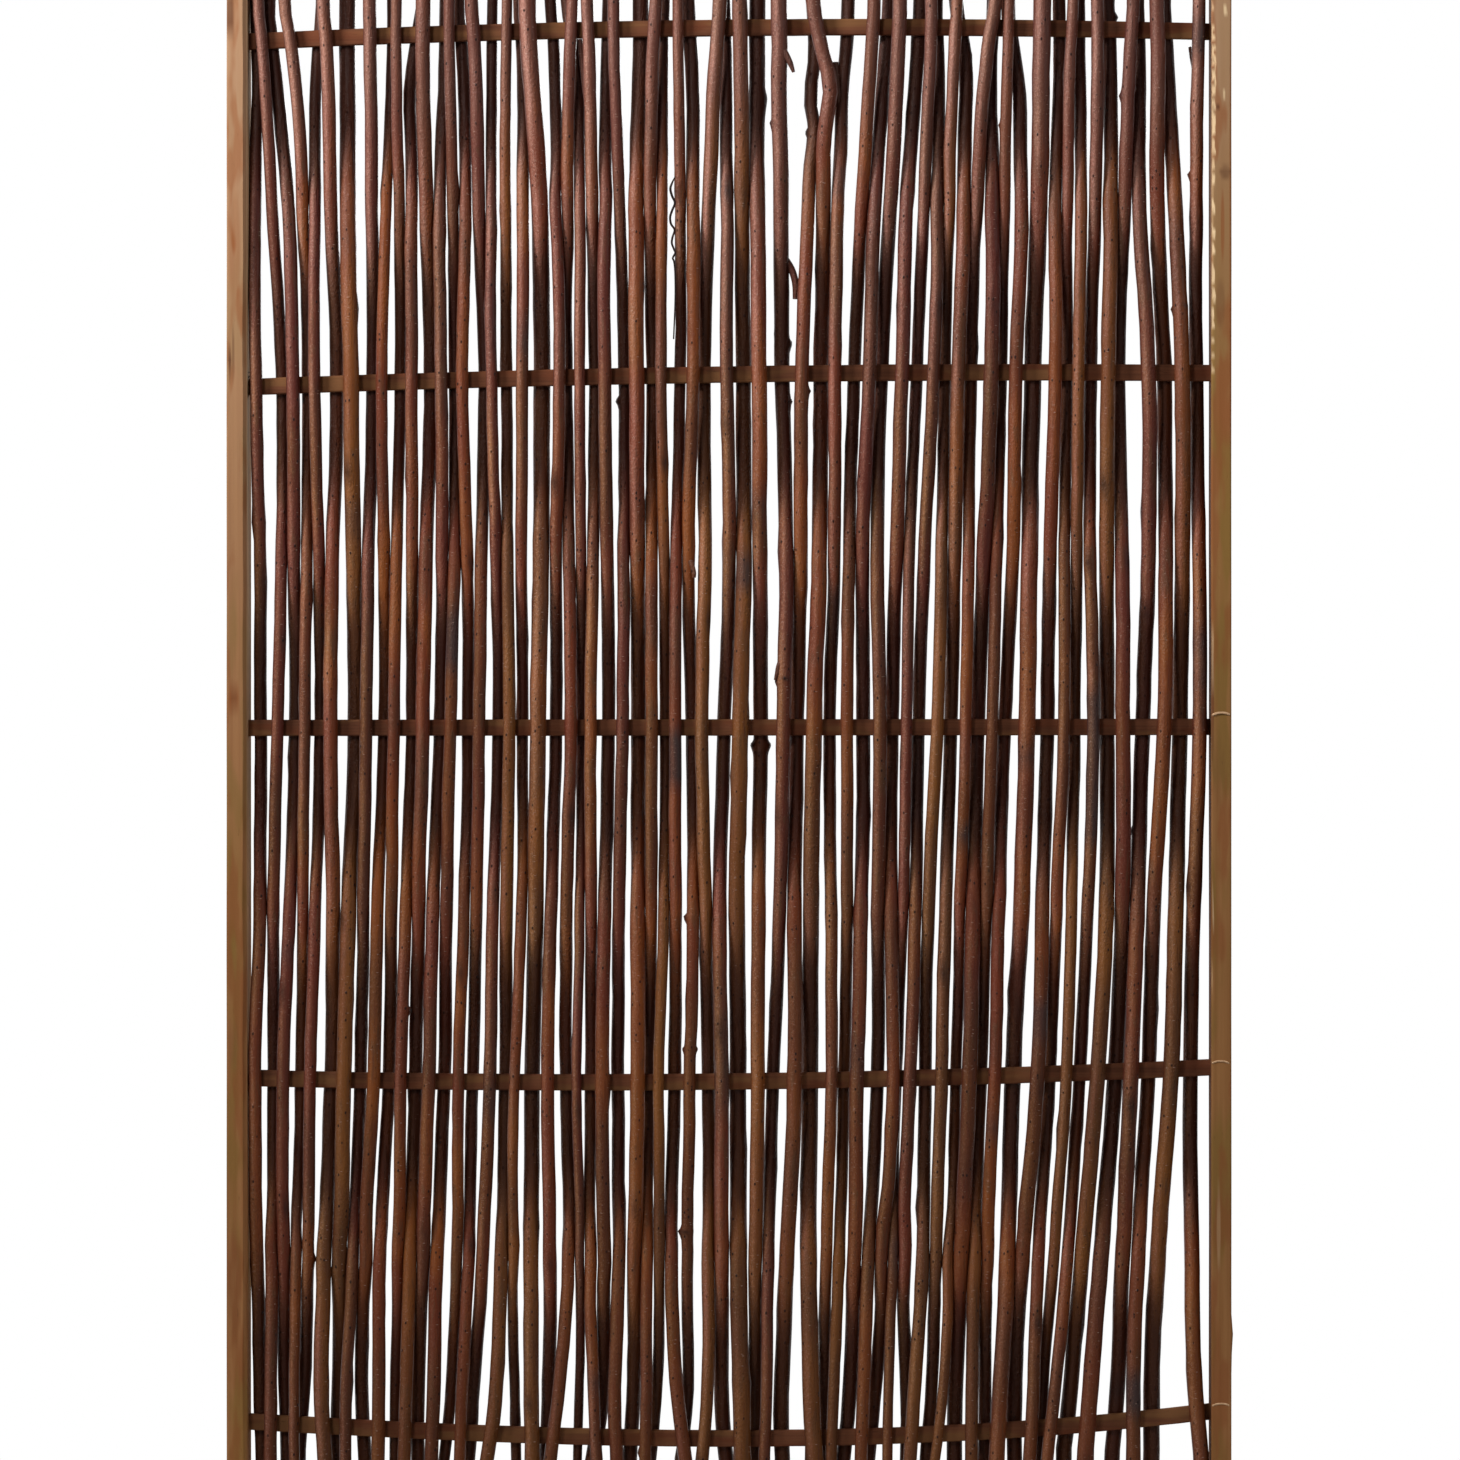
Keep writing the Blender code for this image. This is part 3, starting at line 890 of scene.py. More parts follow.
def swellEdge(points):
    # A swelling low down on the right post's outer edge
    level, half, proud = battenLook["swelling"]
    begin, run, deep, back = battenLook["swellingEdge"]
    bulge = proud * np.exp(-(((points[:, 2] - level) / half) ** 2))
    outer = np.clip((points[:, 0] - begin) / run, 0, 1)
    points[:, 0] += bulge * outer * np.clip((deep - points[:, 1]) / back, 0, 1)


def makePost(word, side):
    look = battenLook
    low = min(side * innerHalf, side * panel["width"] / 2)
    front = -panel["depth"] / 2
    corner = (low + panel["postFace"], -front, panel["height"])
    piece = addBox(f"{word}Post", (low, front, 0), corner)
    roundEdges(piece, look["arris"], 3)
    cutAlong(piece, 2, panel["height"] / 2, look["postCuts"])
    cutAlong(piece, 2, 0.004, look["fineCuts"], *look["fineRun"][side])
    cutAlong(piece, 0, 0.01, look["faceCuts"])
    cutAlong(piece, 1, 0.02, look["sideCuts"])
    near, far = sorted(side * (innerHalf + reach) for reach in look["mortise"])
    deep = slatLook["thickness"] / 2 + look["mortiseGap"]
    high = slatLook["height"] / 2 + look["mortiseGap"]
    cutters = []
    for slat in range(slatCount):
        level = slatLevel(slat, side * innerHalf)
        cutters.append(addBox("mortise", (near, -deep, level - high), (far, deep, level + high)))
    for end in ("bottom", "top"):
        cutters += screwCutters(side, end)
    cutAway(piece, cutters)
    points = pointsOf(piece)
    rough = roughen(points, look["rough"], look["waves"], np.array((1, 1, 0.3)))
    fromEnd = np.minimum(points[:, 2], panel["height"] - points[:, 2])
    middle = np.clip(fromEnd / look["still"], 0, 1)
    points += (rough - points) * middle[:, None]
    # How far a point lies inside the inner front edge, measured square to its chamfer
    corner = innerHalf - side * points[:, 0] + front - points[:, 1]
    marks = {kind: np.zeros(len(points)) for kind in ("bare", "stain", "olive", "rust")}
    if side > 0:
        cut = tearEdge(points, corner, marks)
        markLine(points, marks)
    else:
        cut = wearEdge(points, corner) * middle
    points[:, 0] += side * cut * 0.5
    points[:, 1] += cut * 0.5
    markFaces(points, side, marks)
    if side > 0:
        swellEdge(points)
    setPoints(piece, points)
    for kind, amounts in marks.items():
        setMark(piece, kind, amounts)
    smooth(piece, 35)
    settle(piece, timbers["postWood"], "post_wood", f"{word}_post")


def makeRail(end, up):
    look = battenLook
    half = innerHalf - panel["gap"]
    outer = panel["height"] if up > 0 else 0.0
    inner = outer - up * panel["railHeight"]
    deep = panel["depth"] / 2
    piece = addBox(f"{end}Rail", (-half, -deep, min(outer, inner)), (half, deep, max(outer, inner)))
    roundEdges(piece, look["arris"], 4)
    cutAlong(piece, 0, half, look["railCuts"])
    wide = panel["grooveWidth"] / 2
    floor = inner + up * panel["grooveDepth"]
    mouth = inner - up * 0.01
    groove = addBox("groove", (-0.5, -wide, min(floor, mouth)), (0.5, wide, max(floor, mouth)))
    bores = [cutter for side in (-1, 1) for cutter in screwCutters(side, end, ("shank",))]
    cutAway(piece, [groove, *bores])
    points = pointsOf(piece)
    rough = roughen(points, look["rough"], look["waves"], np.array((0.3, 1, 1)))
    away = np.clip((half - np.abs(points[:, 0])) / look["still"], 0, 1)
    away = away * (np.abs(points[:, 2] - outer) > 0.0002)
    points += (rough - points) * away[:, None]
    setPoints(piece, points)
    smooth(piece, 35)
    settle(piece, timbers["railWood"], "rail_wood", f"{end}_rail")


for word, side in (("left", -1), ("right", 1)):
    makePost(word, side)
for end, up in (("top", 1), ("bottom", -1)):
    makeRail(end, up)
print("posts and rails done")


# Screws and staples


def makeScrew(end, word, side):
    look = screwLook
    piece, ring, turn = addBlank(f"{end}{word.capitalize()}Screw", look["sides"], look["rings"])
    share = ring / (look["rings"] - 1)
    along = share * look["length"]
    core = look["shank"] * look["core"]
    pitch = along / look["thread"] - turn / (2 * math.pi)
    tooth = 1 - np.abs(pitch % 1 - 0.5) * 2
    reach = core + (look["shank"] - core) * tooth**2
    reach *= np.clip((look["length"] - along) / look["point"], 0.12, 1)
    cone = look["head"] + (look["shank"] - look["head"]) * along / look["headDepth"]
    reach = np.where(along < look["headDepth"], cone, reach)
    face = side * panel["width"] / 2
    level = screwLevel(end)
    points = (face - side * along, reach * np.cos(turn), level + reach * np.sin(turn))
    setPoints(piece, np.stack(points, 1))
    faceOutwards(piece)
    # A plain cross recess
    near, far = sorted((face + side * look["over"], face - side * look["recessDepth"]))
    long, thin = look["recess"], look["recessHalf"]
    cutAway(
        piece,
        [
            addBox("slot", (near, -deep, level - high), (far, deep, level + high))
            for deep, high in ((long, thin), (thin, long))
        ],
    )
    smooth(piece, 35)
    settle(piece, steel, "screw_steel", f"{end}_{word}_screw")


for word, side in (("left", -1), ("right", 1)):
    for end in ("top", "bottom"):
        makeScrew(end, word, side)

# Staples on the right post: height, place across, turn in degrees, how thick and how proud
staples = (
    (0.9122, 0.4406, 2.0, 0.00115, 0.0008),
    (0.6003, 0.4402, 0.0, 0.0009, 0.0003),
    (0.2935, 0.4404, 1.0, 0.0009, 0.0002),
)
stapleLook = {
    "half": 0.0072,
    "leg": 0.007,
    "arch": 0.0015,
    "flat": 0.6,
    "sides": 10,
    "rings": 57,
}


def makeStaple(number, level, across, turn, thick, proud):
    look = stapleLook
    half, face = look["half"], -panel["depth"] / 2
    low = face - proud
    # One half, from its leg to the middle: across, depth, and share of the arch
    bends = (
        (half, face + look["leg"], -0.3),
        (half, face + 0.0012, -0.3),
        (half - 0.0008, low + 0.0003, 0.1),
        (half * 0.4, low, 0.85),
    )
    run = [(-x, y, z) for x, y, z in bends] + list(bends[::-1])
    tilt = math.radians(turn)
    points = []
    for x, y, z in run:
        z *= look["arch"]
        right = x * math.cos(tilt) - z * math.sin(tilt)
        up = x * math.sin(tilt) + z * math.cos(tilt)
        points.append((across + right, y, level + up))
    radii = [thick] * len(points)
    piece = addTube(f"staple{number}", points, radii, look["sides"], look["rings"])
    spots = pointsOf(piece)
    flat = low + (spots[:, 1] - low) * look["flat"]
    spots[:, 1] = np.where(spots[:, 1] < low, flat, spots[:, 1])
    setPoints(piece, spots)
    smooth(piece, 60)
    settle(piece, stapleWire, "screw_steel")


for number, staple in enumerate(staples, 3):
    makeStaple(number, *staple)
print("screws and staples done")


# Willow rods

rodLook = {
    "sides": 16,
    "stations": 560,  # heights at which the rods are kept clear of each other
    "rings": 640,
    "crowd": 6.0,  # how much closer the rings stand at a knob
    "fullness": (1.12, 1.07),  # whole thickness over the table's, which leaves out the dark edges
    "gap": 0.0001,
    "edges": (0.2418, 1.5545),  # heights of the table's first and last place
    "endLean": 8.0,
    "endClear": (0.006, 0.0075),  # from the posts to the first and the last rod's end
    "sway": (0.0004, 0.0002),
    "lump": 0.028,
    "oval": ((2, 0.03), (3, 0.012)),  # bulges around a rod, and their share of its radius
    "ripple": 0.00006,
    "swell": 0.00035,
    "swellRun": 0.0035,
    "nodeRun": (0.045, 0.115),
    "budRise": 0.0011,
    "budHalf": (1.6, 3.0),  # half length in millimetres, from the least to the most
    "budTurn": 137.5,  # degrees from one bud to the next
    "lumpHalf": 0.62,  # half width of a bud or knob, in radians around the rod
    "twigSides": 10,
    "twigRings": 14,
    "slateEdge": 0.0035,  # over how long a stretch the slate grey sets in
    # A painted highlight strip on each rod: the side it faces, its half width, its strength from rod to
    # rod, and its fading
    "bloomSide": -118,
    "highlightHalf": 0.43,
    "bloom": (0.35, 1.3),
    "highlightFade": ((0.2, 1.6), (0.55, 1.0)),  # heights, and the share of the painted highlight there
    "recess": (0.0025, 0.004),  # how far from the mid plane the painted shade sets in, and over what run
    "ruleLeft": 249.0,
    "ruleRight": 1210.0,
}

# Thickness at the foot and at the top in millimetres, then the places along a rule a little above slat
# 1, at slat 1, between slats 1 and 2, at slat 2, and so on down to slat 5 and a little below it
rodTable = (
    (11.0, 9.8, (254.5, 255.5, 254.5, 257, 260, 259.5, 260, 256, 257, 260, 261.2)),
    (10.2, 9.6, (259, 262.8, 272.5, 281, 281.5, 278.5, 273.5, 272.5, 272.5, 271.5, 271.3)),
    (10.2, 11.6, (264.2, 270, 288.5, 294, 294, 294.5, 290, 284, 283.5, 285, 287)),
    (8.8, 11.4, (285.1, 291.5, 304, 307, 307, 305.5, 303, 300, 296, 295.3, 295.3)),
    (10.0, 9.8, (320.8, 317.5, 314, 315.5, 318.5, 319.5, 315.5, 311, 308, 300.8, 297.3)),
    (13.2, 11.2, (324.2, 327, 331, 336, 332.5, 331.5, 333, 330.5, 325, 323.7, 326.3)),
    (11.8, 14.2, (346.5, 346.5, 348, 352, 353.5, 354.5, 349, 345, 341, 337, 336)),
    (9.6, 11.4, (370.5, 371, 372, 372, 368.5, 367, 363.5, 359.5, 353, 346.3, 346)),
    (12.0, 9.0, (391.5, 391.5, 386, 382.5, 384, 383.5, 377.5, 374.5, 364, 362, 363.8)),
    (11.4, 9.0, (397.5, 396.8, 399.5, 399.5, 396.5, 394.5, 391.5, 388, 380, 379.4, 379)),
    (9.6, 10.8, (422, 416.5, 411.5, 412.5, 412, 411, 406, 401.5, 399, 394.5, 394.5)),
    (10.2, 12.4, (424, 423.5, 426.5, 430, 426, 423.5, 418.5, 414.5, 410, 405.8, 405)),
    (11.4, 10.4, (446, 445, 439.5, 442, 442.5, 439.5, 433, 429.5, 422.5, 416.8, 417)),
    (11.6, 9.0, (449.8, 450, 453, 454, 454.5, 451, 446.5, 443.5, 437, 433.3, 432.5)),
    (9.4, 11.2, (456.5, 460, 465.5, 463, 467, 467.5, 464.5, 459, 457.5, 446.5, 443.4)),
    (9.6, 11.8, (472, 474.5, 479, 484, 481.5, 480, 476.5, 472, 468, 461.3, 460.2)),
    (11.2, 8.6, (491.8, 491.5, 491, 492, 496, 498, 493, 490.5, 482.5, 469.8, 467.7)),
    (12.0, 8.2, (508, 507, 505.5, 506, 507.5, 510, 506.5, 505, 502, 491.5, 487.2)),
    (8.2, 11.8, (519, 521, 523, 523, 521.5, 522, 522, 515, 512.5, 515, 515.7)),
    (12.0, 15.2, (527.5, 529, 539.5, 541, 541, 538.5, 535.5, 531.5, 531, 532.5, 533)),
    (11.8, 9.8, (549.4, 551.8, 557.5, 560, 556, 555.5, 551, 548, 550, 546.5, 545.5)),
    (10.8, 10.2, (573, 571.5, 566.5, 566, 569, 571.5, 566.5, 565.5, 569, 553.8, 550.5)),
    (7.2, 10.8, (565.5, 570.3, 580, 580, 581, 581, 580.5, 577, 581, 577.6, 576.9)),
    (9.8, 11.2, (587.2, 588.7, 592, 594.5, 593, 591, 591, 590.5, 589.5, 596.2, 597.3)),
    (11.8, 11.2, (608.5, 607.5, 604.5, 605, 607, 608, 604.5, 602.5, 603, 596.2, 591)),
    (11.6, 9.8, (613.6, 614, 619.5, 624, 624, 623, 619, 617.5, 619, 616, 617.5)),
    (11.2, 13.4, (640.2, 640, 636.5, 637, 637.5, 638, 638, 638, 635, 631, 629.3)),
    (9.6, 11.2, (656, 654.5, 650, 652, 651.5, 652, 651, 648.5, 646.5, 646, 645.5)),
    (9.2, 10.0, (664, 663, 662, 661.5, 664, 665, 664, 659, 659.5, 653, 650.3)),
    (11.4, 8.6, (678.3, 678.3, 680.5, 680, 676.5, 675.5, 675.5, 674.5, 671, 682.8, 686)),
    (9.0, 12.0, (687.2, 689.5, 693, 693.5, 688, 691.5, 693.5, 690, 687, 683.5, 680)),
    (9.6, 12.2, (720.5, 718.3, 709, 703.5, 705, 702, 705, 708, 708.5, 704.3, 701.8)),
    (13.0, 10.6, (723.8, 724.6, 727, 727, 729.5, 724, 719.5, 722, 721.5, 724, 726)),
    (14.4, 11.6, (739.4, 740.3, 742, 743, 744, 740.5, 737, 738, 738.5, 742.4, 742.8)),
    (10.4, 14.2, (757.4, 757, 757.5, 759.5, 760, 760.5, 758.5, 758, 756, 755, 755.5)),
    (9.0, 15.0, (778.9, 778.8, 781, 782, 786.5, 783.5, 780, 773, 768, 765.3, 764.3)),
    (13.6, 11.0, (812, 814, 808.5, 802, 800.5, 797, 794.5, 795, 787, 781.5, 782.3)),
    (14.2, 12.0, (812.2, 816.8, 823.5, 821, 819.5, 814, 811, 810, 808.5, 813.4, 814.5)),
    (9.6, 12.0, (848.2, 847.5, 838, 835, 834.5, 829.5, 831, 831.5, 826, 824, 824)),
    (9.2, 11.6, (874.2, 872.8, 862, 854, 849, 847, 847, 844, 839, 831.6, 831)),
    (11.8, 11.0, (889.3, 887.5, 875, 869.5, 862.5, 863.5, 861.5, 857, 854.5, 845.8, 843)),
    (10.6, 13.0, (899.5, 899, 890.5, 881, 877, 880, 878, 877.5, 868.5, 861.7, 861)),
    (10.0, 12.0, (921, 919.5, 907, 902, 896.5, 892, 891, 893, 884.5, 871.3, 868.6)),
    (8.0, 11.4, (931.2, 930.8, 924, 917, 909.5, 906.5, 903, 896.5, 892, 887.7, 887.5)),
    (10.2, 10.6, (936.3, 937.3, 938.5, 933.5, 924.5, 918.5, 915.5, 910, 902.5, 907, 906.7)),
    (11.6, 10.2, (957, 955.5, 948, 945, 942, 937, 928.5, 925, 922.5, 911.2, 909.5)),
    (9.6, 12.4, (955.6, 960, 964, 958, 954.5, 951, 945.5, 941, 935.5, 928.5, 925.9)),
    (8.0, 12.0, (996, 991, 976.5, 971, 968.5, 965.5, 960.5, 956, 950.5, 938, 934.3)),
    (12.4, 11.8, (997.4, 993, 993, 991, 984.5, 977.5, 973.5, 969, 961, 954.7, 954.3)),
    (11.0, 9.2, (1008.5, 1008, 1004, 1001.5, 996.5, 992, 986, 981, 974, 971.5, 971.3)),
    (9.8, 12.0, (1005.5, 1009.8, 1021.5, 1015.5, 1013, 1005, 999, 994.5, 986.5, 985, 984.5)),
    (12.4, 15.2, (1041.5, 1041.3, 1039, 1033, 1029.5, 1026.5, 1021.5, 1013, 1007.5, 997.7, 995.8)),
    (12.8, 10.2, (1059.4, 1060, 1055.5, 1055, 1050, 1047.5, 1042.5, 1037.5, 1022.5, 1014.3, 1014.8)),
    (11.2, 9.6, (1073, 1071.3, 1067, 1067, 1064.5, 1063.5, 1056.5, 1050, 1038.5, 1031, 1029.3)),
    (9.4, 11.0, (1079, 1079.5, 1081, 1078, 1076.5, 1075, 1071.5, 1066, 1054, 1041, 1040)),
    (10.4, 11.4, (1096.2, 1097, 1095, 1091, 1090, 1093, 1088, 1080, 1068, 1050.3, 1046.3)),
    (13.2, 12.2, (1108.2, 1109.3, 1111, 1107.5, 1106.5, 1107.5, 1106.5, 1097, 1082.5, 1067.3, 1064)),
    (14.4, 10.6, (1132.8, 1131, 1124, 1119, 1122, 1122.5, 1122.5, 1116, 1101.5, 1087, 1084.3)),
    (12.4, 12.0, (1137.3, 1138.5, 1139, 1148, 1148.5, 1143, 1137.5, 1130.5, 1123, 1115.7, 1112.5)),
    (11.8, 13.0, (1156, 1156.9, 1157, 1164.5, 1165.5, 1163.5, 1154, 1149, 1138.5, 1132.3, 1133)),
    (13.4, 12.0, (1164.3, 1165.8, 1175, 1181.5, 1182.5, 1180.5, 1176, 1170.5, 1158.5, 1151.8, 1152)),
    (13.6, 10.8, (1197.9, 1197.7, 1196, 1197, 1199, 1199, 1194, 1191, 1191.5, 1196, 1200.5)),
)

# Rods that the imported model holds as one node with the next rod
pairedRods = (4, 7, 11, 15, 17, 21, 23, 27, 30, 36, 43, 46, 49, 53, 57)

# Bends between the places of the table: rod, height, sideways in millimetres, over how long a stretch
rodBends = (
    (38, 1.475, 7.2, 0.030),
    (1, 1.478, 1.3, 0.035),
    (37, 1.470, -3.4, 0.022),
    (37, 1.437, 2.0, 0.016),
    (39, 1.470, -2.0, 0.030),
    (36, 1.505, 1.2, 0.016),
    (11, 1.470, -3.0, 0.034),
    (23, 1.475, 1.8, 0.035),
    (47, 1.490, 1.8, 0.030),
    (51, 1.470, 2.4, 0.040),
)

rodCount = len(rodTable)
levels = np.linspace(
    panel["railHeight"] - panel["grooveDepth"] + panel["gap"],
    panel["height"] - panel["railHeight"] + panel["grooveDepth"] - panel["gap"],
    rodLook["stations"],
)


def rulePlace(mark):
    # The place across, in metres, of a mark along the tables' rule
    share = (mark - rodLook["ruleLeft"]) / (rodLook["ruleRight"] - rodLook["ruleLeft"])
    return -innerHalf + share * 2 * innerHalf


def wavy(shortest, longest, parts):
    # A gentle random wave along a rod, about as high as one
    total = np.zeros(len(levels))
    for _ in range(parts):
        length = random.uniform(shortest, longest)
        total += np.sin((levels / length + random.uniform()) * 2 * math.pi)
    return total / parts


def endPlaces(end, inner):
    # Places of the rods' ends in a rail: each leans on a little, and they stand side by side
    places = rulePlace(end + np.clip(end - inner, -rodLook["endLean"], rodLook["endLean"]))
    atFoot, atTop = rodLook["fullness"]
    thick = [max(foot * atFoot, top * atTop) for foot, top, _ in rodTable]
    need = (np.array(thick[1:]) + np.array(thick[:-1])) / 2000 + rodLook["gap"]
    first, last = rodLook["endClear"]
    for _ in range(400):
        lack = np.maximum(need - np.diff(places), 0) * 0.45
        places[:-1] -= lack
        places[1:] += lack
        places[0] = max(places[0], first - innerHalf)
        places[-1] = min(places[-1], innerHalf - last)
    return places


allMarks = np.array([row[2] for row in rodTable])
heads = endPlaces(allMarks[:, 0], allMarks[:, 1])
feet = endPlaces(allMarks[:, -1], allMarks[:, -2])


def runOf(row):
    # The places, depths and radii of one rod at every level, from its foot up
    foot, top, marks = rodTable[row]
    places = np.array([feet[row], *rulePlace(np.array(marks[::-1])), heads[row]])
    knots = [float(slatLevel(slat, places[10 - 2 * slat])) for slat in (4, 3, 2, 1, 0)]
    middles = [(low + high) / 2 for low, high in zip(knots, knots[1:])]
    knots = np.array([levels[0], *sorted(knots + middles), levels[-1]])
    full = np.sort(np.append(knots, rodLook["edges"]))
    # The slopes at the picture's edges carry on without a swing beyond them
    slopes = np.gradient(places, full)
    chords = np.diff(places) / np.diff(full)
    for step, inner, outer in ((1, chords[1], chords[0]), (-2, chords[-2], chords[-1])):
        least = min(abs(inner), 2 * abs(outer)) * np.sign(inner)
        slopes[step] = least if inner * outer > 0 else 0.0
    slopes[0], slopes[-1] = chords[0] / 2, chords[-1] / 2
    across = easeThrough(full, places, levels, slopes)
    side = 1 if row % 2 == 0 else -1
    beats = side * np.array((0, 1, 0, -1, 0, 1, 0, -1, 0, 1, 0))
    beat = np.sin(np.interp(levels, knots, beats) * math.pi / 2)
    atFoot, atTop = rodLook["fullness"]
    foot, top = foot * atFoot, top * atTop
    radii = (foot + (top - foot) * levels / panel["height"]) / 2000
    away = 1 - beat * beat
    long, short = rodLook["sway"]
    across = across + wavy(0.09, 0.2, 3) * long + wavy(0.03, 0.07, 3) * short
    for number, level, shift, stretch in rodBends:
        if number == row + 1:
            across = across + shift / 1000 * np.exp(-(((levels - level) / stretch) ** 2))
    radii = radii * (1 + rodLook["lump"] * wavy(0.05, 0.12, 3))
    reach = slatLook["thickness"] / 2 + rodLook["gap"] + radii
    depths = beat * reach + wavy(0.06, 0.12, 2) * 0.0003 * away
    ends = np.clip(np.minimum(levels - levels[0], levels[-1] - levels) / 0.03, 0, 1)
    return across, depths * ends + beat * reach * (1 - ends), radii


def partNeighbours(across, depths, radii, rounds):
    # Pushes rods apart wherever they would lie in each other
    for _ in range(rounds):
        for step in (1, 2):
            for start in range(2 * step):
                near = np.arange(start, rodCount - step, 2 * step)
                far = near + step
                reach = radii[near] + radii[far] + rodLook["gap"]
                aside = np.sqrt(np.maximum(reach**2 - (depths[far] - depths[near]) ** 2, 0))
                # Where one passes well behind the other they may lie in line or cross
                lack = np.maximum(aside - (across[far] - across[near]), 0) / 2 * (aside > 0)
                across[near] -= lack
                across[far] += lack
        across[0] = np.maximum(across[0], -innerHalf + radii[0] + rodLook["gap"])
        across[-1] = np.minimum(across[-1], innerHalf - radii[-1] - rodLook["gap"])


def blur(values, width):
    steps = np.arange(-3 * width, 3 * width + 1)
    weights = np.exp(-((steps / width) ** 2) / 2)
    weights /= weights.sum()
    padded = np.pad(values, ((0, 0), (3 * width, 3 * width)), mode="edge")
    return np.stack([np.convolve(row, weights, mode="valid") for row in padded])


runs = [runOf(row) for row in range(rodCount)]
across, depths, radii = (np.array([run[part] for run in runs]) for part in range(3))
wished = across.copy()
# The pushes are softened along the rods, and what comes together by that is parted again
partNeighbours(across, depths, radii, 60)
across = wished + blur(across - wished, 4)
partNeighbours(across, depths, radii, 12)
print("rods set out")

# Knobs and bud scars seen on the rods: rod, height, turn in degrees (0 right, 90 back, 180 left, 270
# front), how proud, and half its length, both in millimetres
knobs = (
    (36, 1.2470, 5, 3.0, 5.0),
    (36, 1.1950, 0, 2.2, 3.0),
    (37, 1.2030, 0, 2.6, 3.0),
    (37, 1.4360, 180, 2.4, 3.0),
    (26, 1.1950, 180, 3.0, 3.4),
    (31, 0.7300, 180, 3.2, 3.4),
    (31, 0.6120, 200, 2.4, 2.6),
    (31, 0.6120, 340, 2.2, 2.6),
    (31, 0.4480, 180, 2.8, 3.4),
    (35, 0.8850, 180, 2.8, 4.0),
    (35, 0.8850, 0, 2.8, 4.0),
    (35, 1.4670, 0, 2.0, 9.0),
    (57, 1.5410, 0, 2.8, 3.2),
    (58, 1.4680, 180, 2.4, 3.6),
    (62, 1.3970, 180, 2.6, 2.4),
    (7, 0.4120, 180, 3.0, 2.6),
    (5, 0.4235, 0, 2.4, 2.6),
    (13, 0.4330, 200, 2.0, 3.0),
    (36, 1.4430, 170, 1.8, 3.0),
    (36, 0.9430, 180, 2.4, 3.0),
    (11, 0.6470, 0, 2.8, 3.0),
    (50, 1.4420, 190, 2.0, 2.6),
    (61, 1.2760, 180, 2.0, 2.6),
    (59, 0.8080, 180, 2.2, 2.6),
    (28, 0.2510, 180, 2.4, 2.0),
)

# Slate-grey stretches of bark: rod, bottom, top, and how strong
slates = (
    (62, 1.5065, 1.5320, 0.9),
    (39, 1.3700, 1.4040, 0.6),
    (19, 1.2320, 1.2640, 0.5),
    (17, 1.2320, 1.2960, 0.35),
    (14, 0.9520, 1.0140, 0.9),
    (7, 1.0690, 1.1070, 0.45),
    (34, 1.0240, 1.0600, 0.7),
    (35, 1.0830, 1.1200, 0.4),
    (39, 0.9700, 1.0290, 0.7),
    (62, 0.9700, 0.9960, 0.8),
    (62, 0.9340, 0.9600, 0.5),
    (56, 0.7960, 0.9310, 0.9),
    (30, 0.8470, 0.8930, 0.9),
    (45, 0.8150, 0.9070, 0.85),
    (48, 0.7900, 0.8160, 0.8),
    (52, 0.8590, 0.8780, 0.6),
    (53, 0.6260, 0.6580, 0.8),
    (41, 0.5930, 0.6260, 0.5),
    (33, 0.5560, 0.6900, 0.35),
    (3, 0.6820, 0.7050, 0.4),
    (59, 0.2890, 0.3160, 0.9),
    (60, 0.2890, 0.3190, 0.9),
    (44, 0.4180, 0.4410, 0.5),
    (17, 0.5430, 0.5790, 0.45),
    (51, 0.5230, 0.5570, 0.6),
    (24, 0.3080, 0.3260, 0.6),
)

# Side twigs: rod, then their points from the rod outwards: across, depth, height and radius, in metres
twigs = (
    (36, (0.0425, -0.011, 1.512, 0.0042), (0.049, -0.0135, 1.506, 0.0036),
        (0.0545, -0.0135, 1.4965, 0.0028), (0.0578, -0.014, 1.488, 0.0015)),
    (36, (0.05, 0.006, 1.323, 0.003), (0.056, 0.006, 1.312, 0.0034),
        (0.0592, 0.006, 1.3, 0.0033), (0.059, 0.006, 1.286, 0.0024)),
    (39, (0.101, 0.006, 1.448, 0.004), (0.0975, 0.005, 1.468, 0.0042),
        (0.0955, 0.0045, 1.486, 0.004), (0.0945, 0.0045, 1.499, 0.0034)),
    (31, (-0.035, -0.004, 1.05, 0.0026), (-0.033, -0.006, 1.044, 0.0024),
        (-0.0318, -0.007, 1.039, 0.0022), (-0.0318, -0.0072, 1.035, 0.0018)),
    (36, (0.049, -0.008, 0.966, 0.003), (0.0445, -0.011, 0.956, 0.0024),
        (0.0425, -0.012, 0.948, 0.0018), (0.041, -0.0125, 0.943, 0.0011)),
    (62, (0.419, 0.006, 1.492, 0.003), (0.4165, 0.006, 1.503, 0.0026),
        (0.415, 0.006, 1.51, 0.002), (0.414, 0.006, 1.513, 0.0014)),
    (24, (-0.1262, -0.005, 1.454, 0.003), (-0.1298, -0.005, 1.475, 0.0027),
        (-0.1326, -0.0055, 1.5, 0.0025), (-0.1344, -0.006, 1.5185, 0.0022)),
)


def toneAlong(nodes, heights):
    # Bark changes its colour from joint to joint: one random number for each stretch between joints
    edges = [levels[0], *nodes, levels[-1]]
    values = random.uniform(0, 1, len(edges))
    middles = [(low + high) / 2 for low, high in zip(edges, edges[1:])]
    return np.interp(heights, middles, values[: len(middles)])


